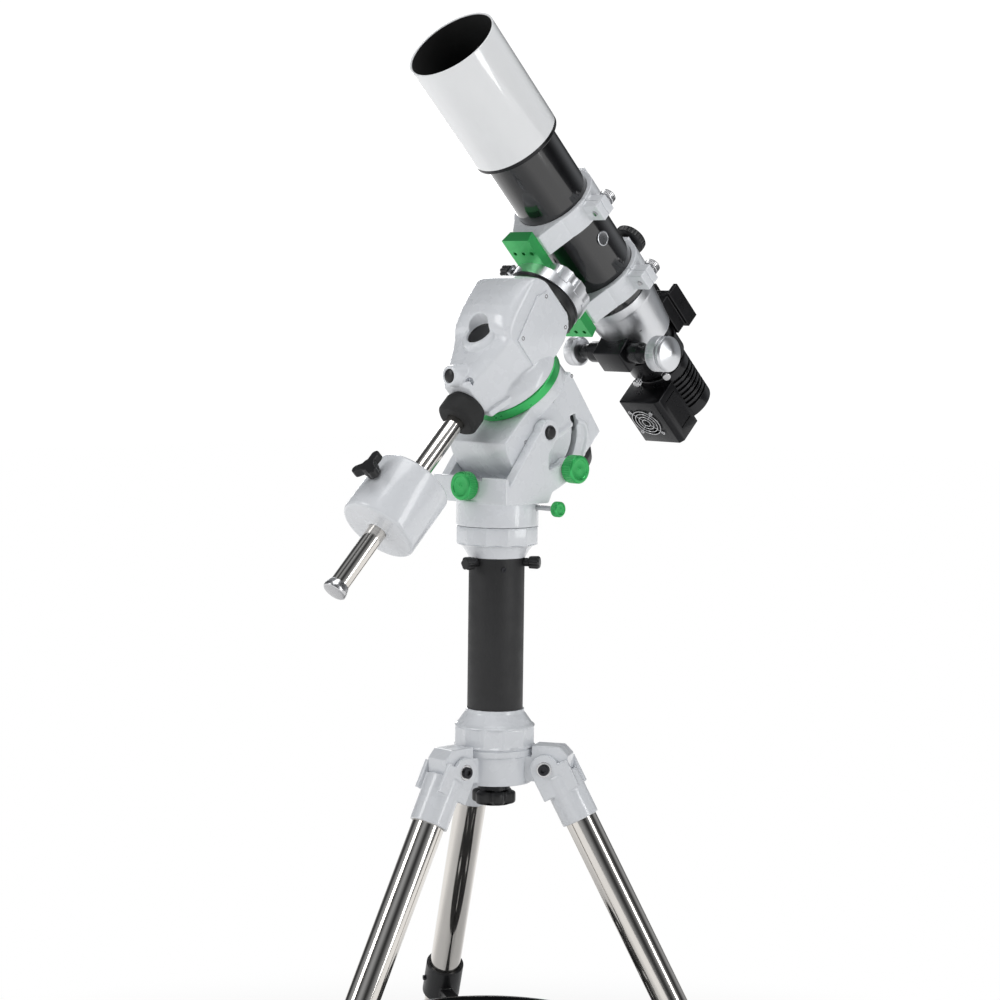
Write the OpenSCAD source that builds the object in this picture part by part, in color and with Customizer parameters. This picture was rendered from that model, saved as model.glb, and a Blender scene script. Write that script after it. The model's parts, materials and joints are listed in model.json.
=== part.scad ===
// Small refractor telescope with a cooled camera on an equatorial mount, pier extension and tripod.
// Origin: on the azimuth axis at floor level. +Z up, -Y is the side that the telescope points to.
// Polar frame used below: x across, y along the declination axis, z along the polar axis.

/* [Tripod] */
// Height of the lower end of the black pier tube above the floor
pier_z = 700; // [660:5:760]
// Outer diameter of an upper leg tube
leg_d = 38; // [34:1:42]
// Outer diameter of a lower leg tube
inner_leg_d = 33.2; // [28:0.2:33.2]
// Lean of the legs from the vertical, in degrees
leg_lean = 27.9; // [24:0.1:30]
// Radius of the tray between the legs
tray_r = 150; // [140:1:152]

/* [Pier] */
// Outer diameter of the pier tube
pier_d = 65; // [60:1:68]
// Visible length of the pier tube
pier_len = 177; // [150:1:220]
// Radius of the scalloped rings at both ends of the pier
ring_r = 48.5; // [46:0.5:52]

/* [Mount] */
// Elevation of the polar axis, in degrees
latitude = 45; // [40:1:55]
// Height of the crossing of the two axes above the pier tube's lower end
axes_h = 404.4; // [400:0.2:410]
// Radius of the green ring around the polar axis
polar_ring_r = 58; // [56:0.5:60]
// Width of the upper housing across
head_w = 97; // [90:1:104]

/* [Counterweight] */
// Diameter of the counterweight
weight_d = 91.5; // [80:0.5:100]
// Length of the counterweight
weight_len = 77; // [60:1:90]
// Diameter of the counterweight shaft
shaft_d = 22; // [18:0.5:24]

/* [Telescope] */
// Outer diameter of the main tube
tube_d = 90; // [88:0.5:90]
// Distance of the tube's axis from the crossing of the mount's axes
tube_h = 193.5; // [193:0.5:196]
// Outer diameter of the dew shield
shield_d = 108.4; // [106:0.2:112]
// Length of the dew shield
shield_len = 148.4; // [140:0.2:152]
// Outer diameter of the camera
camera_d = 68; // [60:1:70]

/* [Hidden] */
$fn = 72;

leg_dirs = [-90, 30, 150];
fit = 0.05;                           // radial clearance of a running fit
gap = 0.3;                            // clearance between parts that pass each other
cut = 1;                              // how far a cutting solid runs past the surface

// Tripod, measured from the pivot bolts down along each leg
pivot_r = 65.5;
pivot_z = pier_z - 66.5;
leg_axis_r = 74.1;                    // radius of the leg's centre line at the height of the pivots
pivot_x = -(leg_axis_r - pivot_r) * cos(leg_lean);
pivot_up = (leg_axis_r - pivot_r) * sin(leg_lean);
arm_half = 15;                        // half the width of a hub arm
ear_t = 6;
socket_end = 66;
upper_end = 560;
lock_end = 592;
collar_from = 336;
collar_to = 384;
tray_z = 304;                         // underside of the tray
tray_t = 4;
stud_r = 121;                         // radius at which the legs' studs stand when the legs are open
stud_in = 62.5;                       // and when they are folded
fold = 10;                            // how far the legs fold inwards, in degrees
floor_reach = pivot_z / cos(leg_lean); // along the leg from the pivot's height to the floor
foot_r = 20;
socket_top = -9.5;                    // the socket's upper face, along the leg
lock_z_leg = -578;                    // lock knob, along the leg
holder_r = 16;                        // eyepiece holes in the tray

// Pier and azimuth base
pier_top = pier_z + pier_len;
foot_plate_z = pier_z - 53;
base_z = pier_z + 214.3;
collar_r = 48;
scallops = 12;
peg_y = 21.5;
peg_r = 4.5;

// Mount
axes_z = pier_z + axes_h;
pivot_alt_y = 24.6;                   // altitude pivot, from the azimuth axis
pivot_alt_z = pier_z + 323.4;
drum_r = 60.5;
drum_half = 46;
arm_in = 46.5;
arm_out = 60;
lock_y = pivot_alt_y + 34;
lock_z = pivot_alt_z - 43;
lock_slot_r = sqrt(34 * 34 + 43 * 43);
adjust_z = base_z + 47.6;             // height of the altitude adjusting bolt
ring_top = -29;                       // along the polar axis
ring_bottom = -41;
head_top = 86;                        // along the declination axis
nose_end = -70;
saddle_z = 100;
bar_z = 114;
bar_h = 15;
bar_bottom = 43;
bar_top = 36;
bar_from = -75;
bar_to = 82;
jaw_face = 36;
jaw_travel = 2;

// Telescope, along the tube
ring_at = [59, -53];
ring_w = 29;
ring_out = 52;
shield_from = 161.6;
tube_from = -78;
tube_to = 205;
lug_x = 66;
focus_y = 149 - tube_h;               // pinion axis, seen from the tube's centre line
focus_z = -137;
draw_r = 34;
camera_from = -200;
camera_to = -273;
fan_x = -5;
fan_z = -241;
box_bottom = 131 - tube_h;

// ---- frames -----------------------------------------------------------------------------------

// The mount's frame: x across, y down the polar axis, z up the declination axis.
module head_frame() translate([0, 0, axes_z]) rotate([-latitude, 0, 0]) children();

// The polar frame: x across, y up the declination axis, z up the polar axis.
module polar_frame() head_frame() rotate([90, 0, 0]) children();

// The tube's frame: the polar frame moved to the tube's centre line.
module tube_frame() polar_frame() translate([0, tube_h, 0]) children();

// A leg's frame: z runs up the leg, y is the direction of its pivot bolt.
module leg_frame(i) {
  rotate([0, 0, leg_dirs[i]]) translate([leg_axis_r, 0, pivot_z]) rotate([0, -leg_lean, 0]) children();
}

// ---- shared shapes ----------------------------------------------------------------------------

// A tube along z from z = a to z = b.
module pipe(r_out, r_in, a, b) {
  translate([0, 0, a]) difference() {
    cylinder(r = r_out, h = b - a);
    translate([0, 0, -cut]) cylinder(r = r_in, h = b - a + 2 * cut);
  }
}

// A cylinder along z from z = a to z = b.
module rod(r, a, b) translate([0, 0, a]) cylinder(r = r, h = b - a);

// A cylinder along x from x = a to x = b.
module rod_x(r, a, b) rotate([0, 90, 0]) rod(r, a, b);

// A cylinder along y from y = a to y = b.
module rod_y(r, a, b) rotate([-90, 0, 0]) rod(r, a, b);

// A box given by its lowest and highest corners.
module box(a, b) translate(a) cube(b - a);

// A ring with shallow scoops around its edge.
module scalloped(r, a, b) {
  scoop = 13;
  difference() {
    rod(r, a, b);
    for (k = [0 : scallops - 1]) {
      rotate([0, 0, (k + 0.5) * 360 / scallops]) translate([r + scoop - 2.6, 0, 0]) rod(scoop, a - cut, b + cut);
    }
  }
}

// A round hand knob with lobes, along z from z = a to z = b.
module lobed_knob(r, lobes, a, b) {
  difference() {
    rod(r, a, b);
    for (k = [0 : lobes - 1]) {
      rotate([0, 0, (k + 0.5) * 360 / lobes]) translate([r * 1.2, 0, 0]) rod(r * 0.34, a - cut, b + cut);
    }
  }
}

// A flat shape in the polar frame's y and z, extruded across from x = a to x = b.
module slab(points, a, b) {
  translate([a, 0, 0]) rotate([90, 0, 90]) linear_extrude(height = b - a) polygon(points);
}

// ---- tripod -----------------------------------------------------------------------------------

module tripod_hub() {
  hub_bottom = pier_z - 86;
  arm_top = pier_z - 40;
  color("whitesmoke") difference() {
    union() {
      rod(44, hub_bottom, foot_plate_z);
      for (a = leg_dirs) {
        rotate([0, 0, a]) difference() {
          box([20, -arm_half, hub_bottom + 4], [92, arm_half, arm_top]);
          box([-cut, -20, foot_plate_z], [ring_r + gap, 20, arm_top + cut]);
        }
      }
    }
    for (i = [0 : 2]) {
      leg_frame(i) translate([pivot_x, 0, pivot_up]) {
        for (f = [0, fold / 2, fold]) {
          rotate([0, f, 0]) box([-50 - pivot_x, -30, -120], [60, 30, socket_top - pivot_up + gap]);
        }
        rod_y(5, -40, 40);
      }
      rotate([0, 0, leg_dirs[i]]) translate([92, 0, arm_top]) rotate([0, 45, 0]) cube([14, 60, 14], center = true);
    }
    rod(6, hub_bottom - cut, foot_plate_z + cut);
  }
}

module tripod_bolts() {
  head_out = arm_half + ear_t + 2;
  color("dimgray") for (i = [0 : 2]) {
    leg_frame(i) translate([pivot_x, 0, pivot_up]) {
      rod_y(5, -head_out, head_out);
      for (side = [0, 180]) {
        rotate([0, 0, side]) difference() {
          rod_y(6.5, head_out - 1.7, head_out + 2);
          rod_y(2.5, head_out, head_out + 3);
        }
      }
    }
  }
}

// The white socket at the top of a leg and the chromed tube that is pressed into it.
module leg_upper(i) {
  socket_r = leg_d / 2 + 3.5;
  leg_frame(i) {
    color("whitesmoke") difference() {
      union() {
        rod(socket_r, -socket_end, socket_top);
        for (side = [0, 180]) {
          inner = arm_half + gap;
          outer = arm_half + ear_t;
          translate([pivot_x, 0, pivot_up]) rotate([0, 0, side]) rod_y(17, inner, outer);
          a = side == 0 ? inner : -outer;
          box([pivot_x - 17, a, -30], [socket_r - 1, a + outer - inner, pivot_up]);
        }
      }
      rod(leg_d / 2 + 0.02, -socket_end - cut, -13.9);
      translate([pivot_x, 0, pivot_up]) rod_y(5 + fit, -40, 40);
    }
    color("silver") pipe(leg_d / 2, inner_leg_d / 2 + fit, -upper_end, -14);
  }
}
module leg_upper_1() leg_upper(0);
module leg_upper_2() leg_upper(1);
module leg_upper_3() leg_upper(2);

// The tray arm's clamp and the lock housing at the lower end of an upper leg tube.
module leg_clamp(i) {
  tip = 8;
  color([0.12, 0.12, 0.12]) {
    difference() {
      union() {
        leg_frame(i) rod(leg_d / 2 + 4.5, -collar_to, -collar_from);
        rotate([0, 0, leg_dirs[i]]) {
          box([stud_r, -tip, tray_z - 12], [240, tip, tray_z - gap]);
          translate([stud_r, 0, 0]) rod(tip, tray_z - 12, tray_z - gap);
        }
      }
      leg_frame(i) rod(leg_d / 2, -collar_to - 60, -collar_from + 60);
    }
    rotate([0, 0, leg_dirs[i]]) translate([stud_r, 0, tray_z]) {
      rod(3, -gap, tray_t + 4);
      rod(6, tray_t + 4, tray_t + 8);
    }
    leg_frame(i) difference() {
      union() {
        rod(leg_d / 2 + 5.5, -lock_end, -upper_end + 14);
        translate([0, 0, lock_z_leg]) rod_x(9, 0, leg_d / 2 + 11);
      }
      rod(leg_d / 2, -upper_end, -upper_end + 20);
      rod(inner_leg_d / 2 + gap, -lock_end - cut, -upper_end + cut);
    }
  }
}
module leg_clamp_1() leg_clamp(0);
module leg_clamp_2() leg_clamp(1);
module leg_clamp_3() leg_clamp(2);

module leg_knob(i) {
  color([0.1, 0.1, 0.1]) leg_frame(i) translate([0, 0, lock_z_leg]) rotate([0, 90, 0]) {
    rod(8, leg_d / 2 + 11 + gap, leg_d / 2 + 15);
    lobed_knob(14, 4, leg_d / 2 + 14, leg_d / 2 + 25);
  }
}
module leg_knob_1() leg_knob(0);
module leg_knob_2() leg_knob(1);
module leg_knob_3() leg_knob(2);

// A lower leg tube with its rubber foot, cut level with the floor.
module leg_lower(i) {
  color("silver") leg_frame(i) pipe(inner_leg_d / 2, inner_leg_d / 2 - 2, -floor_reach + 14, -250);
  color([0.1, 0.1, 0.1]) difference() {
    leg_frame(i) union() {
      rod(foot_r, -floor_reach - 30, -floor_reach + 34);
      rod(foot_r - 2, -floor_reach + 30, -floor_reach + 44);
    }
    leg_frame(i) rod(inner_leg_d / 2, -floor_reach + 14, -floor_reach + 60);
    rotate([0, 0, leg_dirs[i]]) box([300, -60, -60], [500, 60, 0]);
  }
}
module leg_lower_1() leg_lower(0);
module leg_lower_2() leg_lower(1);
module leg_lower_3() leg_lower(2);

module tray() {
  rim = 7;
  slot = 4.5;
  color([0.13, 0.13, 0.13]) difference() {
    union() {
      rod(tray_r, tray_z, tray_z + tray_t);
      pipe(tray_r, tray_r - 4, tray_z + tray_t - cut, tray_z + tray_t + rim);
    }
    for (a = leg_dirs) {
      rotate([0, 0, a]) {
        box([stud_in, -slot, tray_z - cut], [stud_r, slot, tray_z + tray_t + cut]);
        for (x = [stud_in, stud_r]) translate([x, 0, 0]) rod(slot, tray_z - cut, tray_z + tray_t + cut);
      }
      rotate([0, 0, a + 60]) translate([90, 0, 0]) rod(holder_r, tray_z - cut, tray_z + 20);
    }
  }
}

// ---- pier -------------------------------------------------------------------------------------

module pier_knob() {
  top = pier_z - 88;
  color([0.1, 0.1, 0.1]) {
    lobed_knob(26, 6, top - 25, top - 8);
    rod(18, top - 10, top);
    rod(6 - fit, top - cut, pier_z - 10);
  }
}

// The flange at the pier's lower end.
module pier_foot() {
  ring_from = foot_plate_z + 8;
  ring_to = ring_from + 27;
  color("whitesmoke") difference() {
    union() {
      rod(46.5, foot_plate_z, ring_from);
      scalloped(ring_r - 1, ring_from, ring_to);
      translate([0, 0, ring_to]) cylinder(r1 = 44.5, r2 = pier_d / 2 + 1.5, h = 16);
      rod(pier_d / 2 + 1.5, ring_to + 15.9, pier_z);
      rod(pier_d / 2 - 3.5, pier_z - cut, pier_z + 24);
    }
    rod(6, foot_plate_z - cut, pier_z - 8);
  }
}

module pier_tube() {
  color([0.12, 0.12, 0.12]) difference() {
    pipe(pier_d / 2, pier_d / 2 - 3.5, pier_z, pier_top);
    for (a = leg_dirs) rotate([0, 0, a]) translate([0, 0, pier_top - 5]) rod_x(3, 20, 40);
  }
}

// The flange at the pier's upper end, with the peg that the azimuth bolts push on.
module pier_head() {
  ring_from = pier_top + 15.8;
  ring_to = pier_top + 36.8;
  color("whitesmoke") difference() {
    union() {
      rod(pier_d / 2 - 3.5, pier_top - 25, pier_top + cut);
      translate([0, 0, pier_top]) cylinder(r1 = pier_d / 2 + 1, r2 = 43, h = ring_from - pier_top);
      scalloped(ring_r, ring_from, ring_to);
      rod(20, ring_to - cut, ring_to + 12);
    }
    translate([0, peg_y, 0]) rod(peg_r + 0.02, ring_to - 10, ring_to + 20);
    for (a = leg_dirs) rotate([0, 0, a]) translate([0, 0, pier_top - 5]) rod_x(3, 20, 40);
    rod(5, pier_top - 30, ring_to + 20);
  }
  color("silver") translate([0, peg_y, 0]) rod(peg_r, ring_to - 9.9, ring_to + 29);
}

module pier_screw(i) {
  color([0.1, 0.1, 0.1]) rotate([0, 0, leg_dirs[i]]) translate([0, 0, pier_top - 5]) {
    rod_x(3 - fit, 24, 42);
    rod_x(5, pier_d / 2 + gap, 42);
    rotate([0, 90, 0]) lobed_knob(8, 6, 39, 52);
  }
}
module pier_screw_1() pier_screw(0);
module pier_screw_2() pier_screw(1);
module pier_screw_3() pier_screw(2);

module pier_flanges() {
  pier_foot();
  pier_head();
}

// ---- azimuth base -----------------------------------------------------------------------------

// Outline of a fork arm in y and z, from the foot to the altitude pivot and the lock stud's lug.
module fork_arm(a, b) {
  slab([
    [-46, base_z + 28], [-46, base_z + 42], [-34, base_z + 56], [3, base_z + 104], [16, base_z + 116],
    [33, base_z + 116], [34, base_z + 98], [24, base_z + 84], [24, base_z + 66], [44, base_z + 72],
    [lock_y - 4, lock_z + 12], [lock_y + 10, lock_z + 8], [lock_y + 10, lock_z - 8], [44, base_z + 46],
    [30, base_z + 40], [24, base_z + 28]], a, b);
  translate([0, pivot_alt_y, pivot_alt_z]) rod_x(15, a, b);
  translate([0, lock_y, lock_z]) rod_x(13, a, b);
}

module azimuth_base() {
  color("whitesmoke") difference() {
    union() {
      rod(collar_r, base_z, base_z + 30);
      box([-arm_out, -46, base_z + 28], [arm_out, 24, base_z + 34]);
      fork_arm(arm_in, arm_out);
      fork_arm(-arm_out, -arm_in);
      box([-arm_out, -46, base_z + 28], [arm_out, -41, base_z + 58]);
    }
    rod(20 + fit, base_z - cut, base_z + 13);
    box([-6.5, peg_y - 8, base_z - cut], [6.5, peg_y + 8, base_z + 31]);
    translate([0, peg_y, base_z + 22]) rod_x(3, -60, 60);
    rotate([0, 90, 0]) translate([-pivot_alt_z, pivot_alt_y, 0]) rod(8, -80, 80);
    translate([0, lock_y, lock_z]) rod_x(4 + fit, -80, 80);
    translate([0, 0, adjust_z]) rod_y(4 + fit, -60, -30);
    box([-12, -50, adjust_z + 6], [20, -30, base_z + 70]);
  }
}

// One azimuth adjusting bolt: side is 1 for west and -1 for east.
module azimuth_bolt(side) {
  color("limegreen") translate([0, peg_y, base_z + 22]) rotate([0, 0, side > 0 ? 0 : 180]) {
    rod_x(3 - fit, 10, 74);
    rod_x(7.5, 72, 73);
    rod_x(9, 73, 81);
    rod_x(7.5, 81, 82);
  }
}
module azimuth_bolt_west() azimuth_bolt(1);
module azimuth_bolt_east() azimuth_bolt(-1);

module altitude_pin() {
  color([0.1, 0.1, 0.1]) translate([0, pivot_alt_y, pivot_alt_z]) {
    rod_x(8, -arm_out, arm_out);
    rod_x(6.5, -arm_out - 3, arm_out + 3);
  }
}

// A green hand knob along z with a dished face and a bevelled rim.
module green_knob(r, len) {
  difference() {
    union() {
      rod(r, 1.5, len - 1.5);
      cylinder(r1 = r - 1.5, r2 = r, h = 1.51);
      translate([0, 0, len - 1.51]) cylinder(r1 = r, r2 = r - 1.5, h = 1.51);
    }
    rod(r * 0.64, len - 1.2, len + cut);
  }
}

module altitude_lock_knob() {
  color("limegreen") translate([0, lock_y, lock_z]) {
    rod_x(4, arm_in, arm_out + 3);
    translate([arm_out + gap, 0, 0]) rotate([0, 90, 0]) green_knob(16.5, 16);
  }
}

module altitude_adjust_knob() {
  color("limegreen") translate([0, 0, adjust_z]) {
    rod_y(4, -48, -34);
    translate([0, -46 - gap, 0]) rotate([90, 0, 0]) green_knob(16.5, 15);
  }
}

// ---- polar axis -------------------------------------------------------------------------------

// The altitude pivot in the polar frame.
alt_dy = pivot_alt_y;
alt_dz = pivot_alt_z - axes_z;
alt_y = alt_dy * sin(latitude) + alt_dz * cos(latitude);
alt_z = -alt_dy * cos(latitude) + alt_dz * sin(latitude);

module polar_housing() {
  wall = 6;
  slot_w = 9.2;
  color("white") difference() {
    union() {
      polar_frame() {
        rod(polar_ring_r - 2, -57, ring_bottom - gap);
        intersection() {
          rod(polar_ring_r - 2, -90, -56);
          box([-drum_half, -60, -90], [drum_half, 60, -56]);
        }
        translate([0, alt_y, alt_z]) rod_x(drum_r, -drum_half, drum_half);
        slab([[-50, -70], [42, -58], [29, -146], [-40, -148], [-60, -120]], -drum_half, drum_half);
      }
    }
    polar_frame() {
      box([-80, -130, ring_bottom - gap], [80, 80, 20]);
      rod(30, -53, 0);
      rod(46, -116, -52);
      rod(22, -160, -100);
      translate([0, alt_y, alt_z]) rod_x(drum_r - wall, -drum_half + wall, drum_half - wall);
      translate([0, alt_y, alt_z]) rod_x(8 + fit, -60, 60);
    }
    translate([0, pivot_alt_y, pivot_alt_z]) rotate([-75, 0, 0]) rotate([90, 0, 90]) {
      rotate_extrude(angle = 95) translate([lock_slot_r, 0]) for (side = [-1, 1]) {
        translate([-slot_w / 2, side > 0 ? 39 : -60]) square([slot_w, 21]);
      }
    }
  }
}

module polar_drive() {
  color("dimgray") polar_frame() {
    translate([0, -52.8, -59]) {
      rod_x(8, -20, 20);
      rod_x(3, -36, 36);
      rod_x(9, 31, 36);
    }
    translate([0, -66, -88]) {
      rod_x(17, -34, 20);
      rod_x(3, 19, 36);
      rod_x(9, 31, 36);
    }
  }
}

module polar_cap() {
  color([0.12, 0.12, 0.12]) polar_frame() {
    rod(21.9, -152, -146);
    rod(27, -164, -151);
    translate([0, 0, -176]) cylinder(r1 = 19, r2 = 27, h = 12.01);
  }
}

module polar_ring() {
  color("seagreen") polar_frame() pipe(polar_ring_r, 45, ring_bottom, ring_top);
}

module polar_shaft() {
  color("silver") polar_frame() difference() {
    union() {
      rod(45, ring_bottom, ring_top);
      rod(30 - fit, -54, ring_bottom + cut);
      rod(44, -64, -54);
      rod(22 - fit, -144, -63);
    }
    rod(14, -150, ring_top + cut);
  }
}

// ---- upper housing ----------------------------------------------------------------------------

cover_t = 2.5;
plug_r = 7.5;
side_x = head_w / 2 - cover_t;

// Outline of a side cover in the polar frame: declination axis first, polar axis second.
cover_outline = [[80, 37], [82, -6], [75, -19], [58, -26], [40, -28], [6, -28], [1, -11], [3, 32]];
boss_at = [0, -53, 30];               // the plugged boss on the nose

// Cross section of the housing, seen along the declination axis: its front bulges towards +z.
module head_section() {
  rotate([-90, 0, 0]) linear_extrude(height = 200, center = true) polygon([
    [-side_x, 40], [side_x, 40], [side_x, -50], [40, -59], [28, -64], [12, -67],
    [-12, -67], [-28, -64], [-40, -59], [-side_x, -50]]);
}

module head_casting() {
  color("white") polar_frame() difference() {
    union() {
      intersection() {
        slab([
          [-2, -28], [-2, 41], [3, 51], [12, 59], [28, 65], [60, 67], [73, 64], [80, 57], [head_top, 42],
          [head_top, -6], [76, -19], [58, -26], [40, -28]], -side_x, side_x);
        head_section();
      }
      hull() {
        box([-side_x, -3, -28], [side_x, 4, 40]);
        box([-21, nose_end, -20], [21, nose_end + 5, 33]);
      }
      hull() {
        rod(polar_ring_r - 2, ring_top, ring_top + 6);
        box([-side_x + 4, -42, -14], [side_x - 4, 40, -4]);
      }
      translate(boss_at) rotate([45, 0, 0]) rod(13, -20, 23);
    }
    rotate([-90, 0, 0]) rod(18, -100, head_top + cut);
    rod(14, -40, 60);
    rod(18.5, 42, 75);
    box([-36, 24, 21], [36, 70, 53]);
    translate(boss_at) rotate([45, 0, 0]) rod(plug_r, 19, 30);
    slab(cover_outline, side_x, side_x + 20);
    slab(cover_outline, -side_x - 20, -side_x);
  }
}

module side_covers() {
  color("whitesmoke") polar_frame() {
    slab(cover_outline, side_x, side_x + cover_t);
    slab(cover_outline, -side_x - cover_t, -side_x);
  }
}

module head_plugs() {
  color([0.1, 0.1, 0.1]) polar_frame() {
    rod(18.5, 42, 45);
    translate(boss_at) rotate([45, 0, 0]) rod(plug_r, 19, 23.5);
  }
}

module dec_drive() {
  color("dimgray") polar_frame() {
    translate([0, 38, 38]) {
      rod_x(14, -30, 12);
      rod_x(3, 11, 34);
      rod_x(8, 26, 33);
    }
    translate([0, 60, 36]) {
      rod_x(7, -14, 14);
      rod_x(3, -15, 34);
      rod_x(6, 26, 33);
    }
  }
}

// ---- declination axis -------------------------------------------------------------------------

// The declination shaft and the black flange on its end that carries the saddle.
module dec_shaft() {
  head_frame() {
    color("silver") difference() {
      rod(18 - fit, -70, head_top + gap);
      rod_y(14, -40, 40);
      rod(shaft_d / 2, -71, -46);
    }
    color([0.12, 0.12, 0.12]) {
      rod(47, head_top + gap, saddle_z - 4);
      rod(44, saddle_z - 4, saddle_z);
    }
  }
}

// The sloped side of the bar as a cutting prism, grown sideways by c.
module bar_prism(c, a, b) {
  translate([0, 0, a]) linear_extrude(height = b - a) polygon([
    [-bar_bottom / 2 - c, bar_z], [bar_bottom / 2 + c, bar_z],
    [bar_top / 2 + c, bar_z + bar_h], [-bar_top / 2 - c, bar_z + bar_h]]);
}

module saddle() {
  jaw_top = bar_z + 12.5;
  color("silver") difference() {
    head_frame() union() {
      rod(47, saddle_z, bar_z - 0.05);
      intersection() {
        scalloped(48, bar_z - 4, jaw_top);
        box([17, -34, bar_z - 4], [60, 40, jaw_top]);
      }
      for (y = [-26, 26]) box([-47, y - 6, bar_z - 1], [-43, y + 6, bar_z + 12]);
    }
    polar_frame() bar_prism(0.08, -90, 90);
    head_frame() for (y = [-26, 26]) translate([0, y, bar_z + 6]) rod_x(3.2, -60, -30);
  }
}

module saddle_jaw() {
  color("silver") polar_frame() difference() {
    box([-jaw_face, bar_z, -33], [-18, bar_z + 12.5, 33]);
    bar_prism(0.08, -90, 90);
  }
}

module clamp_knob(y) {
  color([0.1, 0.1, 0.1]) head_frame() translate([0, y, bar_z + 6]) rotate([0, 0, 180]) {
    rod_x(3 - fit, jaw_face + jaw_travel + gap, 52);
    rotate([0, 90, 0]) lobed_knob(8.5, 8, 48, 62);
  }
}
module clamp_knob_1() clamp_knob(-26);
module clamp_knob_2() clamp_knob(26);

// ---- counterweight ----------------------------------------------------------------------------

weight_face = -265;
shaft_end = -350;

module shaft_collar() {
  from = nose_end - gap;
  color([0.12, 0.12, 0.12]) head_frame() difference() {
    union() {
      translate([0, 0, from - 6.7]) cylinder(r1 = 25, r2 = 22, h = 6.7);
      rod(25, from - 23, from - 6.69);
      translate([0, 0, from - 27]) cylinder(r1 = 21, r2 = 25, h = 4.01);
    }
    rod(shaft_d / 2 + fit, from - 28, from + cut);
  }
}

// The counterweight shaft and the stop that is screwed onto its end.
module counterweight_shaft() {
  color("silver") head_frame() {
    rod(shaft_d / 2, shaft_end, -46);
    rod(14, shaft_end - 5, shaft_end);
    translate([0, 0, shaft_end - 7]) cylinder(r1 = 12, r2 = 14, h = 2);
  }
}

module counterweight() {
  r = weight_d / 2;
  bevel = 3;
  color("whitesmoke") head_frame() difference() {
    union() {
      rod(r, weight_face + bevel, weight_face + weight_len - bevel);
      translate([0, 0, weight_face]) cylinder(r1 = r - bevel, r2 = r, h = bevel + 0.01);
      translate([0, 0, weight_face + weight_len - bevel - 0.01]) cylinder(r1 = r, r2 = r - bevel, h = bevel + 0.01);
    }
    rod(shaft_d / 2 + fit, weight_face - cut, weight_face + weight_len + cut);
    translate([0, 0, weight_face + 42]) rod_y(4, -60, 0);
  }
}

module counterweight_knob() {
  color([0.1, 0.1, 0.1]) head_frame() translate([0, 0, weight_face + 42]) {
    rod_y(4 - fit, -58, -15);
    rotate([90, 0, 0]) rod(8, weight_d / 2 + 2, weight_d / 2 + 8);
    rotate([90, 0, 0]) {
      rod(9, weight_d / 2 + 7, weight_d / 2 + 19);
      for (k = [0 : 2]) rotate([0, 0, 90 + k * 120]) {
        translate([15, 0, 0]) rod(5.5, weight_d / 2 + 10, weight_d / 2 + 19);
        box([0, -5.5, weight_d / 2 + 10], [15, 5.5, weight_d / 2 + 19]);
      }
    }
  }
}

// ---- telescope --------------------------------------------------------------------------------

module dovetail_bar() {
  color("seagreen") polar_frame() difference() {
    bar_prism(0, bar_from, bar_to);
    for (z = [61, -67], x = [-13.5, 0, 13.5]) translate([x, 0, z]) rod_y(2.6, 100, 140);
  }
}

// One half of a tube ring about the tube's centre line: side is -1 for the lower half, 1 for the upper.
module half_ring(side) {
  intersection() {
    pipe(ring_out, tube_d / 2, -ring_w / 2, ring_w / 2);
    box([-80, side > 0 ? gap / 2 : -80, -40], [80, side > 0 ? 80 : -gap / 2, 40]);
  }
  y = side > 0 ? gap / 2 : -10.5;
  difference() {
    union() {
      box([tube_d / 2 + 2, y, -11], [75, y + 10.5 - gap / 2, 11]);
      box([-60, y, -11], [-tube_d / 2 - 2, y + 10.5 - gap / 2, 11]);
    }
    rod(tube_d / 2 + 1, -60, 60);
    translate([lug_x, 0, 0]) rod_y(3, -40, 40);
  }
}

// Two clam-shell rings: a lower half bolted to the bar and an upper half closed over the tube.
module tube_rings() {
  foot_y = bar_z + bar_h - tube_h;
  pad_y = ring_out + 4;
  color("whitesmoke") tube_frame() for (z = ring_at) translate([0, 0, z]) {
    half_ring(-1);
    difference() {
      translate([0, 0, -ring_w / 2]) linear_extrude(height = ring_w) polygon([
        [-22, foot_y], [22, foot_y], [25, foot_y + 6], [38, foot_y + 28], [-38, foot_y + 28], [-25, foot_y + 6]]);
      rod(ring_out, -60, 60);
    }
    difference() {
      union() {
        half_ring(1);
        difference() {
          box([-13, ring_out - 3, -13], [13, pad_y, 13]);
          rod(ring_out - 1, -60, 60);
        }
      }
      rod_y(3, 40, 80);
    }
  }
}

// A knurled thumb screw that closes one ring.
module ring_screw(z) {
  color("silver") tube_frame() translate([lug_x, 0, z]) {
    rod_y(3 - fit, -12, 16);
    rod_y(6, 10.5 + gap, 14);
    rod_y(9.5, 13.5, 22);
  }
}
module ring_screw_front() ring_screw(ring_at[0]);
module ring_screw_rear() ring_screw(ring_at[1]);

module camera_screw() {
  color([0.1, 0.1, 0.1]) tube_frame() translate([0, 0, ring_at[1]]) {
    rod_y(3 - fit, 48.5, 70);
    rod_y(10, ring_out + 4 + gap, 61);
    rod_y(20, 60, 70);
  }
}

module tube() {
  baffle_at = [130, 60, -10];
  color([0.08, 0.08, 0.08]) tube_frame() {
    pipe(tube_d / 2, tube_d / 2 - 2, tube_from, tube_to);
    for (z = baffle_at) pipe(tube_d / 2 - 1.9, 34 + z * 0.03, z, z + 1.5);
  }
}

module objective() {
  cell_r = 48;
  lens_r = 36;
  color([0.1, 0.1, 0.1]) tube_frame() {
    difference() {
      rod(cell_r, tube_to, tube_to + 27);
      rod(lens_r, tube_to - cut, tube_to + 30);
    }
    difference() {
      rod(tube_d / 2 - 2, tube_to - 10, tube_to + cut);
      rod(lens_r, tube_to - 12, tube_to + 3);
    }
  }
  color("lightblue") tube_frame() rod(lens_r, tube_to + 6, tube_to + 18);
}

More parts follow.
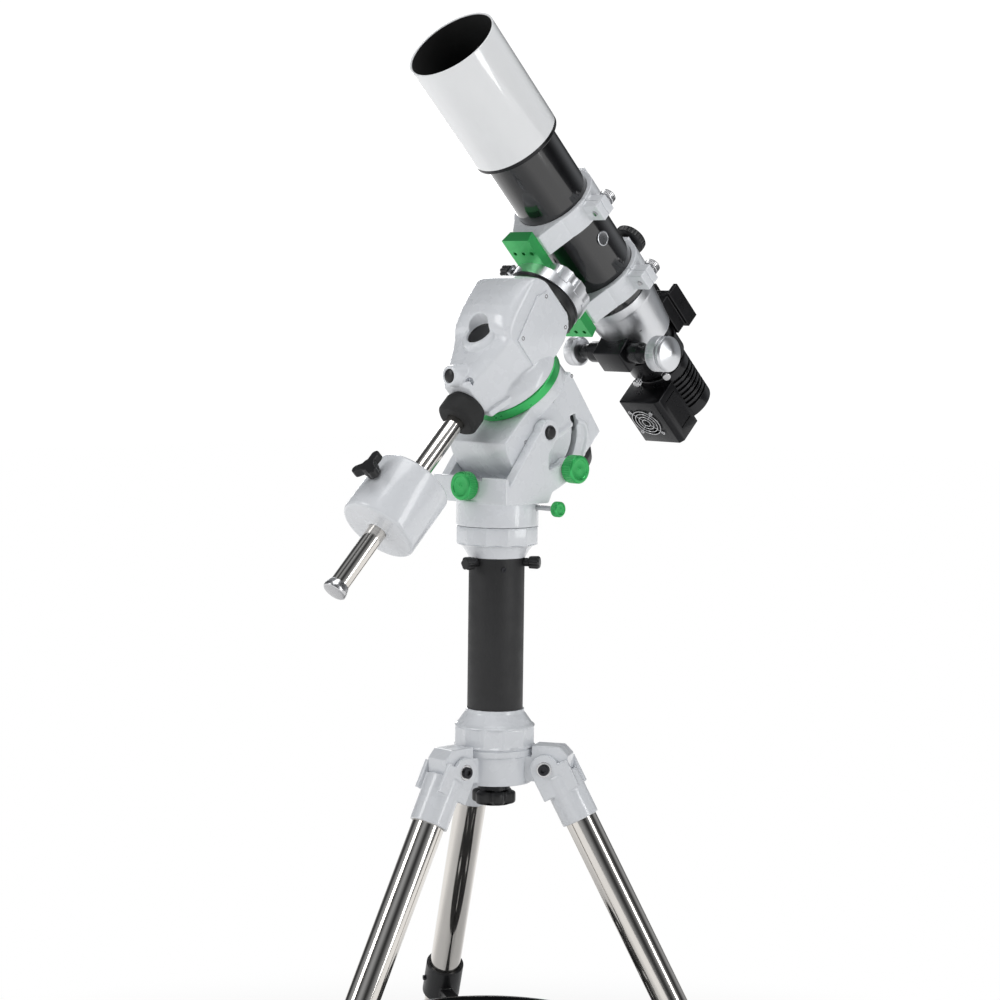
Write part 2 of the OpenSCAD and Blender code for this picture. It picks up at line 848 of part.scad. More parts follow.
module dew_shield() {
  r = shield_d / 2;
  color("white") tube_frame() {
    pipe(r, r - 2.2, shield_from, shield_from + shield_len);
    pipe(r - 2.1, tube_d / 2 + fit, shield_from, shield_from + 8);
  }
}

module focuser_body() {
  body_end = -150;
  color("silver") tube_frame() difference() {
    union() {
      rod(tube_d / 2 + 1.5, -90, tube_from);
      rod(tube_d / 2 - 2, tube_from - cut, tube_from + 12);
      translate([0, 0, -150]) cylinder(r1 = 40, r2 = tube_d / 2 + 1.5, h = 60.01);
      box([-23, focus_y - 14, focus_z - 13], [23, -30, focus_z + 17]);
      translate([0, focus_y, focus_z]) rod_x(14, -50, 56);
    }
    rod(draw_r + fit, body_end - cut, tube_from + 30);
    translate([0, focus_y, focus_z]) rod_x(3.5 + fit, -70, 70);
    translate([0, focus_y, focus_z]) rod_x(10.6, -12, 12);
  }
}

module drawtube() {
  color([0.15, 0.15, 0.15]) tube_frame() {
    pipe(draw_r, draw_r - 3, -184, -76);
    pipe(37, draw_r - 3, -194, -184.01);
    pipe(37, draw_r - 0.01, -184.02, -168);
  }
}

module focus_knobs() {
  color("silver") tube_frame() translate([0, focus_y, focus_z]) {
    rod_x(3.5, -76, 78);
    rod_x(10.3, -11, 11);
    rod_x(18, -76, -60);
    rod_x(21.5, 61, 77);
  }
}

module fine_knob() {
  color("gainsboro") tube_frame() translate([78 + gap, focus_y, focus_z]) rotate([0, 90, 0]) {
    rod(21.5, 0, 4);
    translate([0, 0, 3.99]) cylinder(r1 = 21.5, r2 = 2, h = 8);
  }
}

module finder_shoe() {
  color([0.12, 0.12, 0.12]) tube_frame() difference() {
    union() {
      box([-16, 38, -186], [16, 56, -138]);
      box([-20, 54, -190], [20, 62, -136]);
      box([-20, 61, -190], [-14, 74, -136]);
      box([14, 61, -190], [20, 74, -136]);
    }
    rod(tube_d / 2 + 1.6, -90, -60);
    translate([0, 0, -150]) cylinder(r1 = 40, r2 = tube_d / 2 + 1.5, h = 60.01);
    translate([0, 0, -200]) cylinder(r = 38 + gap, h = 50.01);
  }
}

// The finned camera barrel with the cooler's housing under it.
module camera_body() {
  r = camera_d / 2;
  fins = 7;
  color([0.08, 0.08, 0.08]) tube_frame() difference() {
    union() {
      rod(r, camera_to, camera_from);
      rod(draw_r - 3 - fit, -200, -180);
      box([-32, box_bottom, -277], [32, -20, -207]);
    }
    rod(24, -206, -170);
    for (k = [0 : fins - 1]) pipe(r + 3, r - 3, camera_from - 12 - k * 7, camera_from - 8.5 - k * 7);
    translate([fan_x, box_bottom - cut, fan_z]) rod_y(21, 0, 15);
  }
}

module fan() {
  blades = 7;
  color([0.1, 0.1, 0.1]) tube_frame() translate([fan_x, box_bottom + 3, fan_z]) rotate([-90, 0, 0]) {
    rod(8, 0, 10.5);
    for (k = [0 : blades - 1]) rotate([0, 0, k * 360 / blades]) translate([12.5, 0, 5]) {
      rotate([35, 0, 0]) cube([12, 8, 1.5], center = true);
    }
  }
}

tripod_hub();
tripod_bolts();
leg_upper_1();
leg_upper_2();
leg_upper_3();
leg_clamp_1();
leg_clamp_2();
leg_clamp_3();
leg_knob_1();
leg_knob_2();
leg_knob_3();
leg_lower_1();
leg_lower_2();
leg_lower_3();
tray();
pier_knob();
pier_flanges();
pier_tube();
pier_screw_1();
pier_screw_2();
pier_screw_3();
azimuth_base();
azimuth_bolt_west();
azimuth_bolt_east();
altitude_pin();
altitude_lock_knob();
altitude_adjust_knob();
polar_housing();
polar_drive();
polar_cap();
polar_ring();
polar_shaft();
head_casting();
side_covers();
head_plugs();
dec_drive();
dec_shaft();
saddle();
saddle_jaw();
clamp_knob_1();
clamp_knob_2();
shaft_collar();
counterweight_shaft();
counterweight();
counterweight_knob();
dovetail_bar();
tube_rings();
ring_screw_front();
ring_screw_rear();
camera_screw();
tube();
objective();
dew_shield();
focuser_body();
drawtube();
focus_knobs();
fine_knob();
finder_shoe();
camera_body();
fan();
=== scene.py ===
"""Refractor with a cooled camera on an equatorial mount, pier extension and tripod.

Lengths are in millimetres in the tables and are turned into metres by MM.
Frames: polar (x across, y up the declination axis, z up the polar axis), tube (polar, moved to the
tube's centre line), head (x across, z up the declination axis) and one per leg (z up the leg).
"""
import json
import math

import bmesh
import bpy
from mathutils import Matrix, Vector


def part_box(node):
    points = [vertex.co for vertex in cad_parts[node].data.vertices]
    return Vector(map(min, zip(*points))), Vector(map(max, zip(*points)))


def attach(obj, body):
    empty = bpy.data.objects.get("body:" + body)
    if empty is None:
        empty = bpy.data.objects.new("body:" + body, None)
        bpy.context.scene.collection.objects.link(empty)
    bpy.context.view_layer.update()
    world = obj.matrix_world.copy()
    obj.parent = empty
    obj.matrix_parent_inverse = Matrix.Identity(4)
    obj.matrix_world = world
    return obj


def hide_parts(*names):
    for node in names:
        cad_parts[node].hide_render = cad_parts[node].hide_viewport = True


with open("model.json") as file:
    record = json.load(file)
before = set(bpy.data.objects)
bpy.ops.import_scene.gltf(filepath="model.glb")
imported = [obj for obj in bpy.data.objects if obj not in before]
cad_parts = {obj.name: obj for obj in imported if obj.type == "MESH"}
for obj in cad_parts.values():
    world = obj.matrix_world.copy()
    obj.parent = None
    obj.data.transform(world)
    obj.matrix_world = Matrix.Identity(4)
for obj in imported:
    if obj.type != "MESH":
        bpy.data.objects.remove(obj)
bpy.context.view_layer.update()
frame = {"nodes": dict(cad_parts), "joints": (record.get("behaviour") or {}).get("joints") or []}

MM = 0.001
TAU = 2 * math.pi
SMOOTH_ALL = 180
JOINTS = {j["name"]: j for j in frame["joints"]}


# ---- places taken from the frame ----------------------------------------------------------------

AXES = Vector(JOINTS["right_ascension"]["pos_m"])
RA = Vector(JOINTS["right_ascension"]["axis"])
DEC = Vector(JOINTS["declination"]["axis"])
ACROSS = Vector((1, 0, 0))
PIVOT = Vector(JOINTS["altitude"]["pos_m"])
TUBE_H = 193.5 * MM
PIER_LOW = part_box("pier_tube")[0].z
PIER_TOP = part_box("pier_tube")[1].z


def basis(x, y, z, origin):
    """The matrix of a frame from its three directions and its origin."""
    m = Matrix((x, y, z)).transposed().to_4x4()
    m.translation = origin
    return m


POLAR = basis(ACROSS, DEC, RA, AXES)
HEAD = basis(ACROSS, -RA, DEC, AXES)
TUBE = POLAR @ Matrix.Translation((0, TUBE_H, 0))
WORLD = Matrix.Identity(4)
LEG_DIRS = (-90, 30, 150)


def leg_frame(i):
    """Leg i's frame: z up the leg, x outwards, y along the pivot bolt."""
    up = -Vector(JOINTS[f"leg_{i + 1}_extend"]["axis"])
    pin = Vector(JOINTS[f"leg_{i + 1}_fold"]["axis"])
    knob = Vector(JOINTS[f"leg_lock_{i + 1}_turn"]["pos_m"])
    return basis(pin.cross(up), pin, up, knob + up * 578 * MM)


def at(x, y, z):
    """A shift in millimetres."""
    return Matrix.Translation(Vector((x, y, z)) * MM)


def turn(degrees, axis):
    """A rotation about a frame's own axis."""
    return Matrix.Rotation(math.radians(degrees), 4, axis)


ALONG_X = turn(90, "Y")
ALONG_MINUS_X = turn(-90, "Y")
ALONG_Y = turn(-90, "X")
ALONG_MINUS_Y = turn(90, "X")
# A drawing's x, y, z become its frame's y, z, x.
SIDEWAYS = Matrix(((0, 0, 1, 0), (1, 0, 0, 0), (0, 1, 0, 0), (0, 0, 0, 1)))


# ---- materials ----------------------------------------------------------------------------------

def surface(name, colour, rough=0.4, metal=0.0, coat=0.0, grain=900.0, bump=0.05, mottle=0.03,
            stretch=(1, 1, 1), rough_span=0.08, coat_rough=0.08, aniso=0.0, cast_scale=None):
    """A finish with fine grain, faint colour variation, uneven gloss and, on castings, a slight ripple."""
    mat = bpy.data.materials.new(name)
    mat.use_nodes = True
    nodes, links = mat.node_tree.nodes, mat.node_tree.links
    shader = nodes["Principled BSDF"]
    shader.inputs["Metallic"].default_value = metal
    shader.inputs["Coat Weight"].default_value = coat
    shader.inputs["Coat Roughness"].default_value = coat_rough
    shader.inputs["Anisotropic"].default_value = aniso
    coords = nodes.new("ShaderNodeTexCoord")
    mapping = nodes.new("ShaderNodeMapping")
    mapping.inputs["Scale"].default_value = stretch
    links.new(coords.outputs["Object"], mapping.inputs["Vector"])

    def noise(scale, detail):
        tex = nodes.new("ShaderNodeTexNoise")
        tex.inputs["Scale"].default_value = scale
        tex.inputs["Detail"].default_value = detail
        links.new(mapping.outputs["Vector"], tex.inputs["Vector"])
        return tex.outputs["Fac"]

    def spread(value, low, high):
        node = nodes.new("ShaderNodeMapRange")
        node.inputs["From Min"].default_value = 0.3
        node.inputs["From Max"].default_value = 0.7
        node.inputs["To Min"].default_value = low
        node.inputs["To Max"].default_value = high
        links.new(value, node.inputs["Value"])
        return node.outputs["Result"]

    def mix(factor, a, b):
        node = nodes.new("ShaderNodeMix")
        node.data_type = "RGBA"
        node.inputs["A"].default_value = (*a, 1)
        node.inputs["B"].default_value = (*b, 1)
        links.new(factor, node.inputs["Factor"])
        return node.outputs["Result"]

    cloud = noise(22.0, 3.0)
    fine = noise(grain, 2.0)
    dark = tuple(c * (1 - mottle * 3) for c in colour)
    light = tuple(min(1.0, c * (1 + mottle)) for c in colour)
    tint = mix(spread(cloud, 0, 1), dark, light)
    links.new(tint, shader.inputs["Base Color"])
    links.new(spread(noise(60.0, 4.0), rough - rough_span / 2, rough + rough_span / 2),
              shader.inputs["Roughness"])
    relief = nodes.new("ShaderNodeBump")
    relief.inputs["Strength"].default_value = bump
    relief.inputs["Distance"].default_value = 0.0004
    links.new(fine, relief.inputs["Height"])
    if cast_scale:
        peel = nodes.new("ShaderNodeBump")
        peel.inputs["Strength"].default_value = 0.035
        peel.inputs["Distance"].default_value = 0.0008
        links.new(noise(cast_scale, 1.0), peel.inputs["Height"])
        links.new(relief.outputs["Normal"], peel.inputs["Normal"])
        links.new(peel.outputs["Normal"], shader.inputs["Normal"])
    else:
        links.new(relief.outputs["Normal"], shader.inputs["Normal"])
    return mat


WHITE = surface("white_coat", (0.79, 0.81, 0.84), 0.27, coat=0.6, grain=700, bump=0.03, mottle=0.005,
                cast_scale=170, rough_span=0.06)
SHIELD = surface("shield_white", (0.88, 0.89, 0.90), 0.16, coat=0.9, grain=500, bump=0.008, mottle=0.006,
                 coat_rough=0.04, rough_span=0.04)
GLOSS_BLACK = surface("tube_black", (0.006, 0.006, 0.007), 0.16, coat=1.0, grain=700, bump=0.02,
                      coat_rough=0.05, mottle=0.05)
PIER_BLACK = surface("pier_black", (0.018, 0.018, 0.019), 0.52, grain=1500, bump=0.35, mottle=0.06,
                     rough_span=0.1)
PLASTIC = surface("black_plastic", (0.012, 0.012, 0.013), 0.38, grain=1300, bump=0.12, mottle=0.06,
                  rough_span=0.12)
RUBBER = surface("rubber", (0.02, 0.02, 0.02), 0.72, grain=900, bump=0.25, mottle=0.08)
FLOCK = surface("matt_black", (0.004, 0.004, 0.004), 0.85, grain=1800, bump=0.3, mottle=0.1)
CHROME = surface("chrome", (0.74, 0.71, 0.67), 0.11, metal=1.0, grain=900, bump=0.008, mottle=0.02,
                 stretch=(1, 1, 0.05), rough_span=0.05)
STEEL = surface("turned_steel", (0.62, 0.62, 0.63), 0.24, metal=1.0, grain=600, bump=0.05, mottle=0.03,
                rough_span=0.1, aniso=0.3)
DARK_STEEL = surface("black_oxide", (0.05, 0.05, 0.055), 0.34, metal=1.0, grain=900, bump=0.08,
                     mottle=0.08)
ALUMINIUM = surface("satin_aluminium", (0.72, 0.73, 0.75), 0.33, metal=1.0, grain=1600, bump=0.08,
                    mottle=0.02, rough_span=0.08)
GREEN = surface("green_anodised", (0.045, 0.52, 0.13), 0.3, metal=0.55, coat=0.25, grain=1500, bump=0.04,
                mottle=0.015, rough_span=0.06)
BLACK_ANODISED = surface("black_anodised", (0.014, 0.014, 0.016), 0.3, metal=0.7, coat=0.3, grain=1500,
                         bump=0.06, mottle=0.06, rough_span=0.1)
BADGE = surface("badge_silver", (0.6, 0.61, 0.63), 0.22, metal=1.0, grain=1200, bump=0.03)
LENS = surface("coated_glass", (0.004, 0.012, 0.012), 0.03, coat=1.0, grain=400, bump=0.0,
               coat_rough=0.02, rough_span=0.01)


# ---- mesh makers --------------------------------------------------------------------------------

def piece(name, bm, matrix, material, body, stands_for=(), smooth=40):
    """Turns a bmesh in a local frame into a piece that rides on a body."""
    bmesh.ops.remove_doubles(bm, verts=bm.verts, dist=1e-7)
    bmesh.ops.recalc_face_normals(bm, faces=bm.faces)
    bm.transform(matrix)
    mesh = bpy.data.meshes.new(name)
    bm.to_mesh(mesh)
    bm.free()
    mesh.materials.append(material)
    obj = bpy.data.objects.new(name, mesh)
    bpy.context.scene.collection.objects.link(obj)
    shade(obj, smooth)
    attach(obj, body)
    if stands_for:
        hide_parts(*stands_for)
    return obj


def shade(obj, angle):
    """Smooth shading, with edges sharper than the angle kept crisp."""
    mesh = obj.data
    mesh.polygons.foreach_set("use_smooth", [True] * len(mesh.polygons))
    mesh.set_sharp_from_angle(angle=math.radians(angle))


def softened(profile, radius=0.6, steps=3, closed=False):
    """A profile with its corners rounded. A point may carry its own radius as a third number."""
    count = len(profile)
    out = []
    for k, point in enumerate(profile):
        p = Vector(point[:2])
        r = point[2] if len(point) > 2 else radius
        ends = not closed and k in (0, count - 1)
        if ends or r <= 0:
            out.append(tuple(p))
            continue
        before = Vector(profile[k - 1][:2]) - p
        after = Vector(profile[(k + 1) % count][:2]) - p
        reach = min(r, before.length * 0.45, after.length * 0.45)
        a, b = p + before.normalized() * reach, p + after.normalized() * reach
        for s in range(steps + 1):
            t = s / steps
            out.append(tuple(a * (1 - t) ** 2 + p * 2 * t * (1 - t) + b * t ** 2))
    return out


def turned(profile, segments=96, shape=None, radius=0.6, closed=False, steps=3):
    """A bmesh turned about z from (radius, z) points in mm. shape(angle, r, z) may change a radius."""
    points = softened(profile, radius, steps, closed)
    bm = bmesh.new()
    rings = []
    for r, z in points:
        if r < 1e-6:
            rings.append([bm.verts.new((0, 0, z * MM))])
            continue
        ring = []
        for k in range(segments):
            a = TAU * k / segments
            rr = shape(a, r, z) if shape else r
            ring.append(bm.verts.new((rr * MM * math.cos(a), rr * MM * math.sin(a), z * MM)))
        rings.append(ring)
    pairs = list(zip(rings, rings[1:]))
    if closed:
        pairs.append((rings[-1], rings[0]))
    for lower, upper in pairs:
        for k in range(segments):
            n = (k + 1) % segments
            if len(lower) == 1 and len(upper) == 1:
                continue
            if len(lower) == 1:
                bm.faces.new((lower[0], upper[k], upper[n]))
            elif len(upper) == 1:
                bm.faces.new((lower[k], lower[n], upper[0]))
            else:
                bm.faces.new((lower[k], lower[n], upper[n], upper[k]))
    return bm


def plate(outline, low, high, bevel=0.8, steps=2):
    """A bmesh of a flat outline in mm, extruded along z from low to high, with rounded edges."""
    bm = bmesh.new()
    base = [bm.verts.new((x * MM, y * MM, low * MM)) for x, y in outline]
    face = bm.faces.new(base)
    moved = bmesh.ops.extrude_face_region(bm, geom=[face])
    top = [v for v in moved["geom"] if isinstance(v, bmesh.types.BMVert)]
    bmesh.ops.translate(bm, verts=top, vec=(0, 0, (high - low) * MM))
    bmesh.ops.recalc_face_normals(bm, faces=bm.faces)
    if bevel > 0:
        bmesh.ops.bevel(bm, geom=list(bm.edges), offset=bevel * MM, segments=steps, profile=0.5,
                        affect="EDGES", clamp_overlap=True)
    return bm


def block(low, high, bevel=0.8, steps=2):
    """A bmesh of a box in mm with rounded edges."""
    (x0, y0, z0), (x1, y1, z1) = low, high
    return plate([(x0, y0), (x1, y0), (x1, y1), (x0, y1)], z0, z1, bevel, steps)


def islands(node):
    """The separate solids of a CAD node as bmeshes, the largest first."""
    whole = bmesh.new()
    whole.from_mesh(frame["nodes"][node].data)
    bmesh.ops.remove_doubles(whole, verts=whole.verts, dist=1e-7)
    seen, found = set(), []
    for start in whole.verts:
        if start in seen:
            continue
        group, queue = set(), [start]
        while queue:
            v = queue.pop()
            if v in group:
                continue
            group.add(v)
            queue.extend(e.other_vert(v) for e in v.link_edges)
        seen |= group
        found.append(group)
    result = []
    for group in found:
        part = bmesh.new()
        index = {v: part.verts.new(v.co) for v in group}
        for f in whole.faces:
            if f.verts[0] in group:
                part.faces.new([index[v] for v in f.verts])
        result.append(part)
    whole.free()
    return sorted(result, key=lambda b: -abs(b.calc_volume()))


def remeshed(obj, voxel, rounds=0):
    """Turns a piece into one even skin, and relaxes it so that its edges become round."""
    skin = obj.modifiers.new("skin", "REMESH")
    skin.mode = "VOXEL"
    skin.voxel_size = voxel * MM
    if rounds:
        relax = obj.modifiers.new("relax", "SMOOTH")
        relax.factor = 0.5
        relax.iterations = rounds
    bake(obj)


def cast(name, bm, material, body, stands_for=(), voxel=1.0, rounds=3):
    """A casting: a CAD solid with every edge rounded."""
    obj = piece(name, bm, WORLD, material, body, stands_for, SMOOTH_ALL)
    remeshed(obj, voxel, rounds)
    shade(obj, SMOOTH_ALL)
    return obj


def lofted(rings):
    """A closed bmesh through rings of (x, y, z) points in mm, with flat ends."""
    bm = bmesh.new()
    loops = [[bm.verts.new(Vector(p) * MM) for p in ring] for ring in rings]
    for lower, upper in zip(loops, loops[1:]):
        count = len(lower)
        for k in range(count):
            n = (k + 1) % count
            bm.faces.new((lower[k], lower[n], upper[n], upper[k]))
    bm.faces.new(list(reversed(loops[0])))
    bm.faces.new(loops[-1])
    bmesh.ops.recalc_face_normals(bm, faces=bm.faces)
    return bm


def joined(parts):
    """One bmesh that holds several (bmesh, matrix) parts as overlapping shells."""
    whole = bmesh.new()
    for bm, matrix in parts:
        bmesh.ops.recalc_face_normals(bm, faces=bm.faces)
        bm.transform(matrix)
        mesh = bpy.data.meshes.new("part")
        bm.to_mesh(mesh)
        bm.free()
        whole.from_mesh(mesh)
        bpy.data.meshes.remove(mesh)
    return whole


def carve(obj, bm, matrix):
    """Cuts a solid out of a piece."""
    bmesh.ops.recalc_face_normals(bm, faces=bm.faces)
    bm.transform(matrix)
    mesh = bpy.data.meshes.new("cutter")
    bm.to_mesh(mesh)
    bm.free()
    tool = bpy.data.objects.new("cutter", mesh)
    bpy.context.scene.collection.objects.link(tool)
    cut = obj.modifiers.new("cut", "BOOLEAN")
    cut.operation = "DIFFERENCE"
    cut.solver = "MANIFOLD"
    cut.object = tool
    bake(obj)
    bpy.data.objects.remove(tool)


def tube_along(points, radius, sides=14):
    """A closed bmesh of a round bar through points in mm."""
    points = [Vector(p) for p in points]
    rings = []
    for k, p in enumerate(points):
        ahead = (points[min(k + 1, len(points) - 1)] - points[max(k - 1, 0)]).normalized()
        across = ahead.cross(Vector((1, 0, 0))).normalized()
        other = ahead.cross(across).normalized()
        rings.append([p + (across * math.cos(TAU * j / sides) + other * math.sin(TAU * j / sides)) * radius
                      for j in range(sides)])
    return lofted(rings)


def sculpted(name, solids, cutters, matrix, material, body, stands_for=(), voxel=0.9, rounds=4):
    """A casting built from overlapping solids, less the cutters, with every edge rounded."""
    obj = piece(name, joined(solids), matrix, material, body, stands_for, SMOOTH_ALL)
    remeshed(obj, voxel)
    for bm, local in cutters:
        carve(obj, bm, matrix @ local)
    remeshed(obj, voxel, rounds)
    shade(obj, SMOOTH_ALL)
    return obj


def bake(obj):
    """Applies a piece's modifiers."""
    evaluated = obj.evaluated_get(bpy.context.evaluated_depsgraph_get())
    mesh = bpy.data.meshes.new_from_object(evaluated)
    obj.modifiers.clear()
    obj.data = mesh


def bevelled(node, material, width=0.6):
    """Keeps a CAD node and gives it its finish and softened edges."""
    obj = frame["nodes"][node]
    obj.data.materials.clear()
    obj.data.materials.append(material)
    flat = obj.modifiers.new("flats", "DECIMATE")
    flat.decimate_type = "DISSOLVE"
    flat.angle_limit = math.radians(1)
    mod = obj.modifiers.new("edges", "BEVEL")
    mod.width = width * MM
    mod.segments = 2
    mod.limit_method = "ANGLE"
    mod.angle_limit = math.radians(40)
    mod.harden_normals = True
    shade(obj, 35)
    return obj


def knurl(count, depth, low, high):
    """A shape for turned(): straight knurling between two heights."""
    def shape(a, r, z):
        if low < z < high and r > 4:
            return r - depth * (0.5 + 0.5 * math.cos(a * count)) ** 0.7
        return r
    return shape


def lobes(count, depth, inner):
    """A shape for turned(): smooth lobes that fade towards the middle."""
    def shape(a, r, z):
        if r <= inner:
            return r
        return r - depth * (0.5 + 0.5 * math.cos(count * a)) ** 1.6
    return shape


def hexagon(inner):
    """A shape for turned(): a hexagonal socket in radii up to inner."""
    def shape(a, r, z):
        if r > inner + 1e-6 or r < 1e-6:
            return r
        sector = (a % (TAU / 6)) - TAU / 12
        return r * 0.9 / math.cos(sector)
    return shape


def socket_screw(name, matrix, body, r=2.6, height=2.2, material=DARK_STEEL):
    """A cap screw with a hexagonal socket, its head standing up along z."""
    bore = r * 0.55
    profile = [(0, -0.6), (r, -0.6), (r, height), (bore, height, 0.15), (bore, height * 0.35, 0.1),
               (0, height * 0.35)]
    return piece(name, turned(profile, 36, hexagon(bore), 0.25), matrix, material, body)


def flat_screw(name, matrix, body, r=2.2, material=DARK_STEEL):
    """A countersunk screw with a socket, level with its surface."""
    bore = r * 0.5
    profile = [(0, -0.8), (r, -0.8), (r, 0.12), (bore, 0.12, 0.1), (bore, -0.6, 0.1), (0, -0.6)]
    return piece(name, turned(profile, 30, hexagon(bore), 0.15), matrix, material, body)


# ---- camera, floor and light --------------------------------------------------------------------

def look():
    """The camera, low on the +X, -Y side and looking slightly down."""
    azimuth, pitch, roll = math.radians(45.19), math.radians(4.57), math.radians(-0.73)
    back = Vector((math.sin(azimuth), -math.cos(azimuth), 0))
    side = Vector((math.cos(azimuth), math.sin(azimuth), 0))
    ahead = -back * math.cos(pitch) - Vector((0, 0, 1)) * math.sin(pitch)
    up = side.cross(ahead)
    right = side * math.cos(roll) - up * math.sin(roll)
    top = side * math.sin(roll) + up * math.cos(roll)
    data = bpy.data.cameras.new("camera")
    data.sensor_width = 36
    data.lens = 91.92
    cam = bpy.data.objects.new("camera", data)
    bpy.context.scene.collection.objects.link(cam)
    cam.matrix_world = basis(right, top, -ahead, back * 2.95607 + Vector((0, 0, 1.17934)) + side * 0.00284)
    bpy.context.scene.camera = cam


def floor():
    """A pale floor under the tripod that brightens into a white surround."""
    bm = bmesh.new()
    bmesh.ops.create_grid(bm, x_segments=2, y_segments=2, size=14)
    mesh = bpy.data.meshes.new("floor")
    bm.to_mesh(mesh)
    bm.free()
    obj = bpy.data.objects.new("floor", mesh)
    bpy.context.scene.collection.objects.link(obj)
    mat = surface("pale_floor", (0.86, 0.86, 0.86), 0.7, grain=90, bump=0.02, mottle=0.01)
    nodes, links = mat.node_tree.nodes, mat.node_tree.links
    coords, length = nodes.new("ShaderNodeTexCoord"), nodes.new("ShaderNodeVectorMath")
    length.operation = "LENGTH"
    fade = nodes.new("ShaderNodeMapRange")
    fade.interpolation_type = "SMOOTHSTEP"
    fade.inputs["From Min"].default_value = 0.5
    fade.inputs["From Max"].default_value = 1.5
    glow, mix = nodes.new("ShaderNodeEmission"), nodes.new("ShaderNodeMixShader")
    links.new(coords.outputs["Object"], length.inputs[0])
    links.new(length.outputs["Value"], fade.inputs["Value"])
    links.new(fade.outputs["Result"], mix.inputs["Fac"])
    links.new(nodes["Principled BSDF"].outputs["BSDF"], mix.inputs[1])
    links.new(glow.outputs["Emission"], mix.inputs[2])
    links.new(mix.outputs["Shader"], nodes["Material Output"].inputs["Surface"])
    mesh.materials.append(mat)


def softbox(name, place, target, width, height, power):
    """A rectangular area light."""
    data = bpy.data.lights.new(name, "AREA")
    data.shape = "RECTANGLE"
    data.size = width
    data.size_y = height
    data.energy = power
    obj = bpy.data.objects.new(name, data)
    bpy.context.scene.collection.objects.link(obj)
    aim = Vector(target) - Vector(place)
    obj.location = place
    obj.rotation_euler = aim.to_track_quat("-Z", "Y").to_euler()


def studio():
    """Softboxes on both sides and above, in a white surround that is dim in reflections."""
    middle = (0, 0, 0.95)
    softbox("key", (-1.2, -2.8, 2.5), middle, 1.0, 2.2, 30)
    softbox("side", (3.0, 0.6, 1.7), middle, 0.6, 2.4, 22)
    softbox("rim", (-2.4, 1.7, 2.0), middle, 0.7, 2.4, 24)
    softbox("top", (0.3, -0.3, 3.6), middle, 1.6, 1.6, 26)
    world = bpy.data.worlds.new("studio")
    bpy.context.scene.world = world
    world.use_nodes = True
    nodes, links = world.node_tree.nodes, world.node_tree.links
    shown, dim = nodes["Background"], nodes.new("ShaderNodeBackground")
    shown.inputs["Color"].default_value = (1, 1, 1, 1)
    shown.inputs["Strength"].default_value = 1.05
    dim.inputs["Color"].default_value = (0.93, 0.96, 1, 1)
    coords, parts = nodes.new("ShaderNodeTexCoord"), nodes.new("ShaderNodeSeparateXYZ")
    links.new(coords.outputs["Generated"], parts.inputs["Vector"])
    bearing = nodes.new("ShaderNodeMath")
    bearing.operation = "ARCTAN2"
    links.new(parts.outputs["Y"], bearing.inputs[0])
    links.new(parts.outputs["X"], bearing.inputs[1])
    level = bearing.outputs["Value"]
    for operation, value in (("MULTIPLY", 5), ("ADD", 0.9), ("SINE", None), ("MULTIPLY", 0.17),
                             ("ADD", 0.21)):
        step = nodes.new("ShaderNodeMath")
        step.operation = operation
        links.new(level, step.inputs[0])
        if value is not None:
            step.inputs[1].default_value = value
        level = step.outputs["Value"]
    links.new(level, dim.inputs["Strength"])
    path, mix = nodes.new("ShaderNodeLightPath"), nodes.new("ShaderNodeMixShader")
    links.new(path.outputs["Is Camera Ray"], mix.inputs["Fac"])
    links.new(dim.outputs["Background"], mix.inputs[1])
    links.new(shown.outputs["Background"], mix.inputs[2])
    links.new(mix.outputs["Shader"], nodes["World Output"].inputs["Surface"])
    bpy.context.scene.view_settings.view_transform = "Standard"


# ---- tripod -------------------------------------------------------------------------------------

PIVOT_X, PIVOT_UP = -7.6, 4.0


def tripod():
    hub = islands("tripod_hub")
    cast("hub_casting", hub[0], WHITE, "stand", ["tripod_hub"], 1.0, 4)
    for i in range(3):
        leg(i)
    tray()
    knob_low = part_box("pier_knob")[0].z / MM
    profile = [(0, knob_low), (20, knob_low, 2), (26, knob_low + 2, 3), (26, knob_low + 15, 3),
               (19, knob_low + 17, 2), (18, knob_low + 25, 0.5), (5.9, knob_low + 25), (5.9, knob_low + 80),
               (0, knob_low + 80)]
    piece("centre_star_knob", turned(profile, 144, lobes(6, 6.0, 19.5), 1.5), WORLD, PLASTIC,
          "centre_knob", ["pier_knob"])


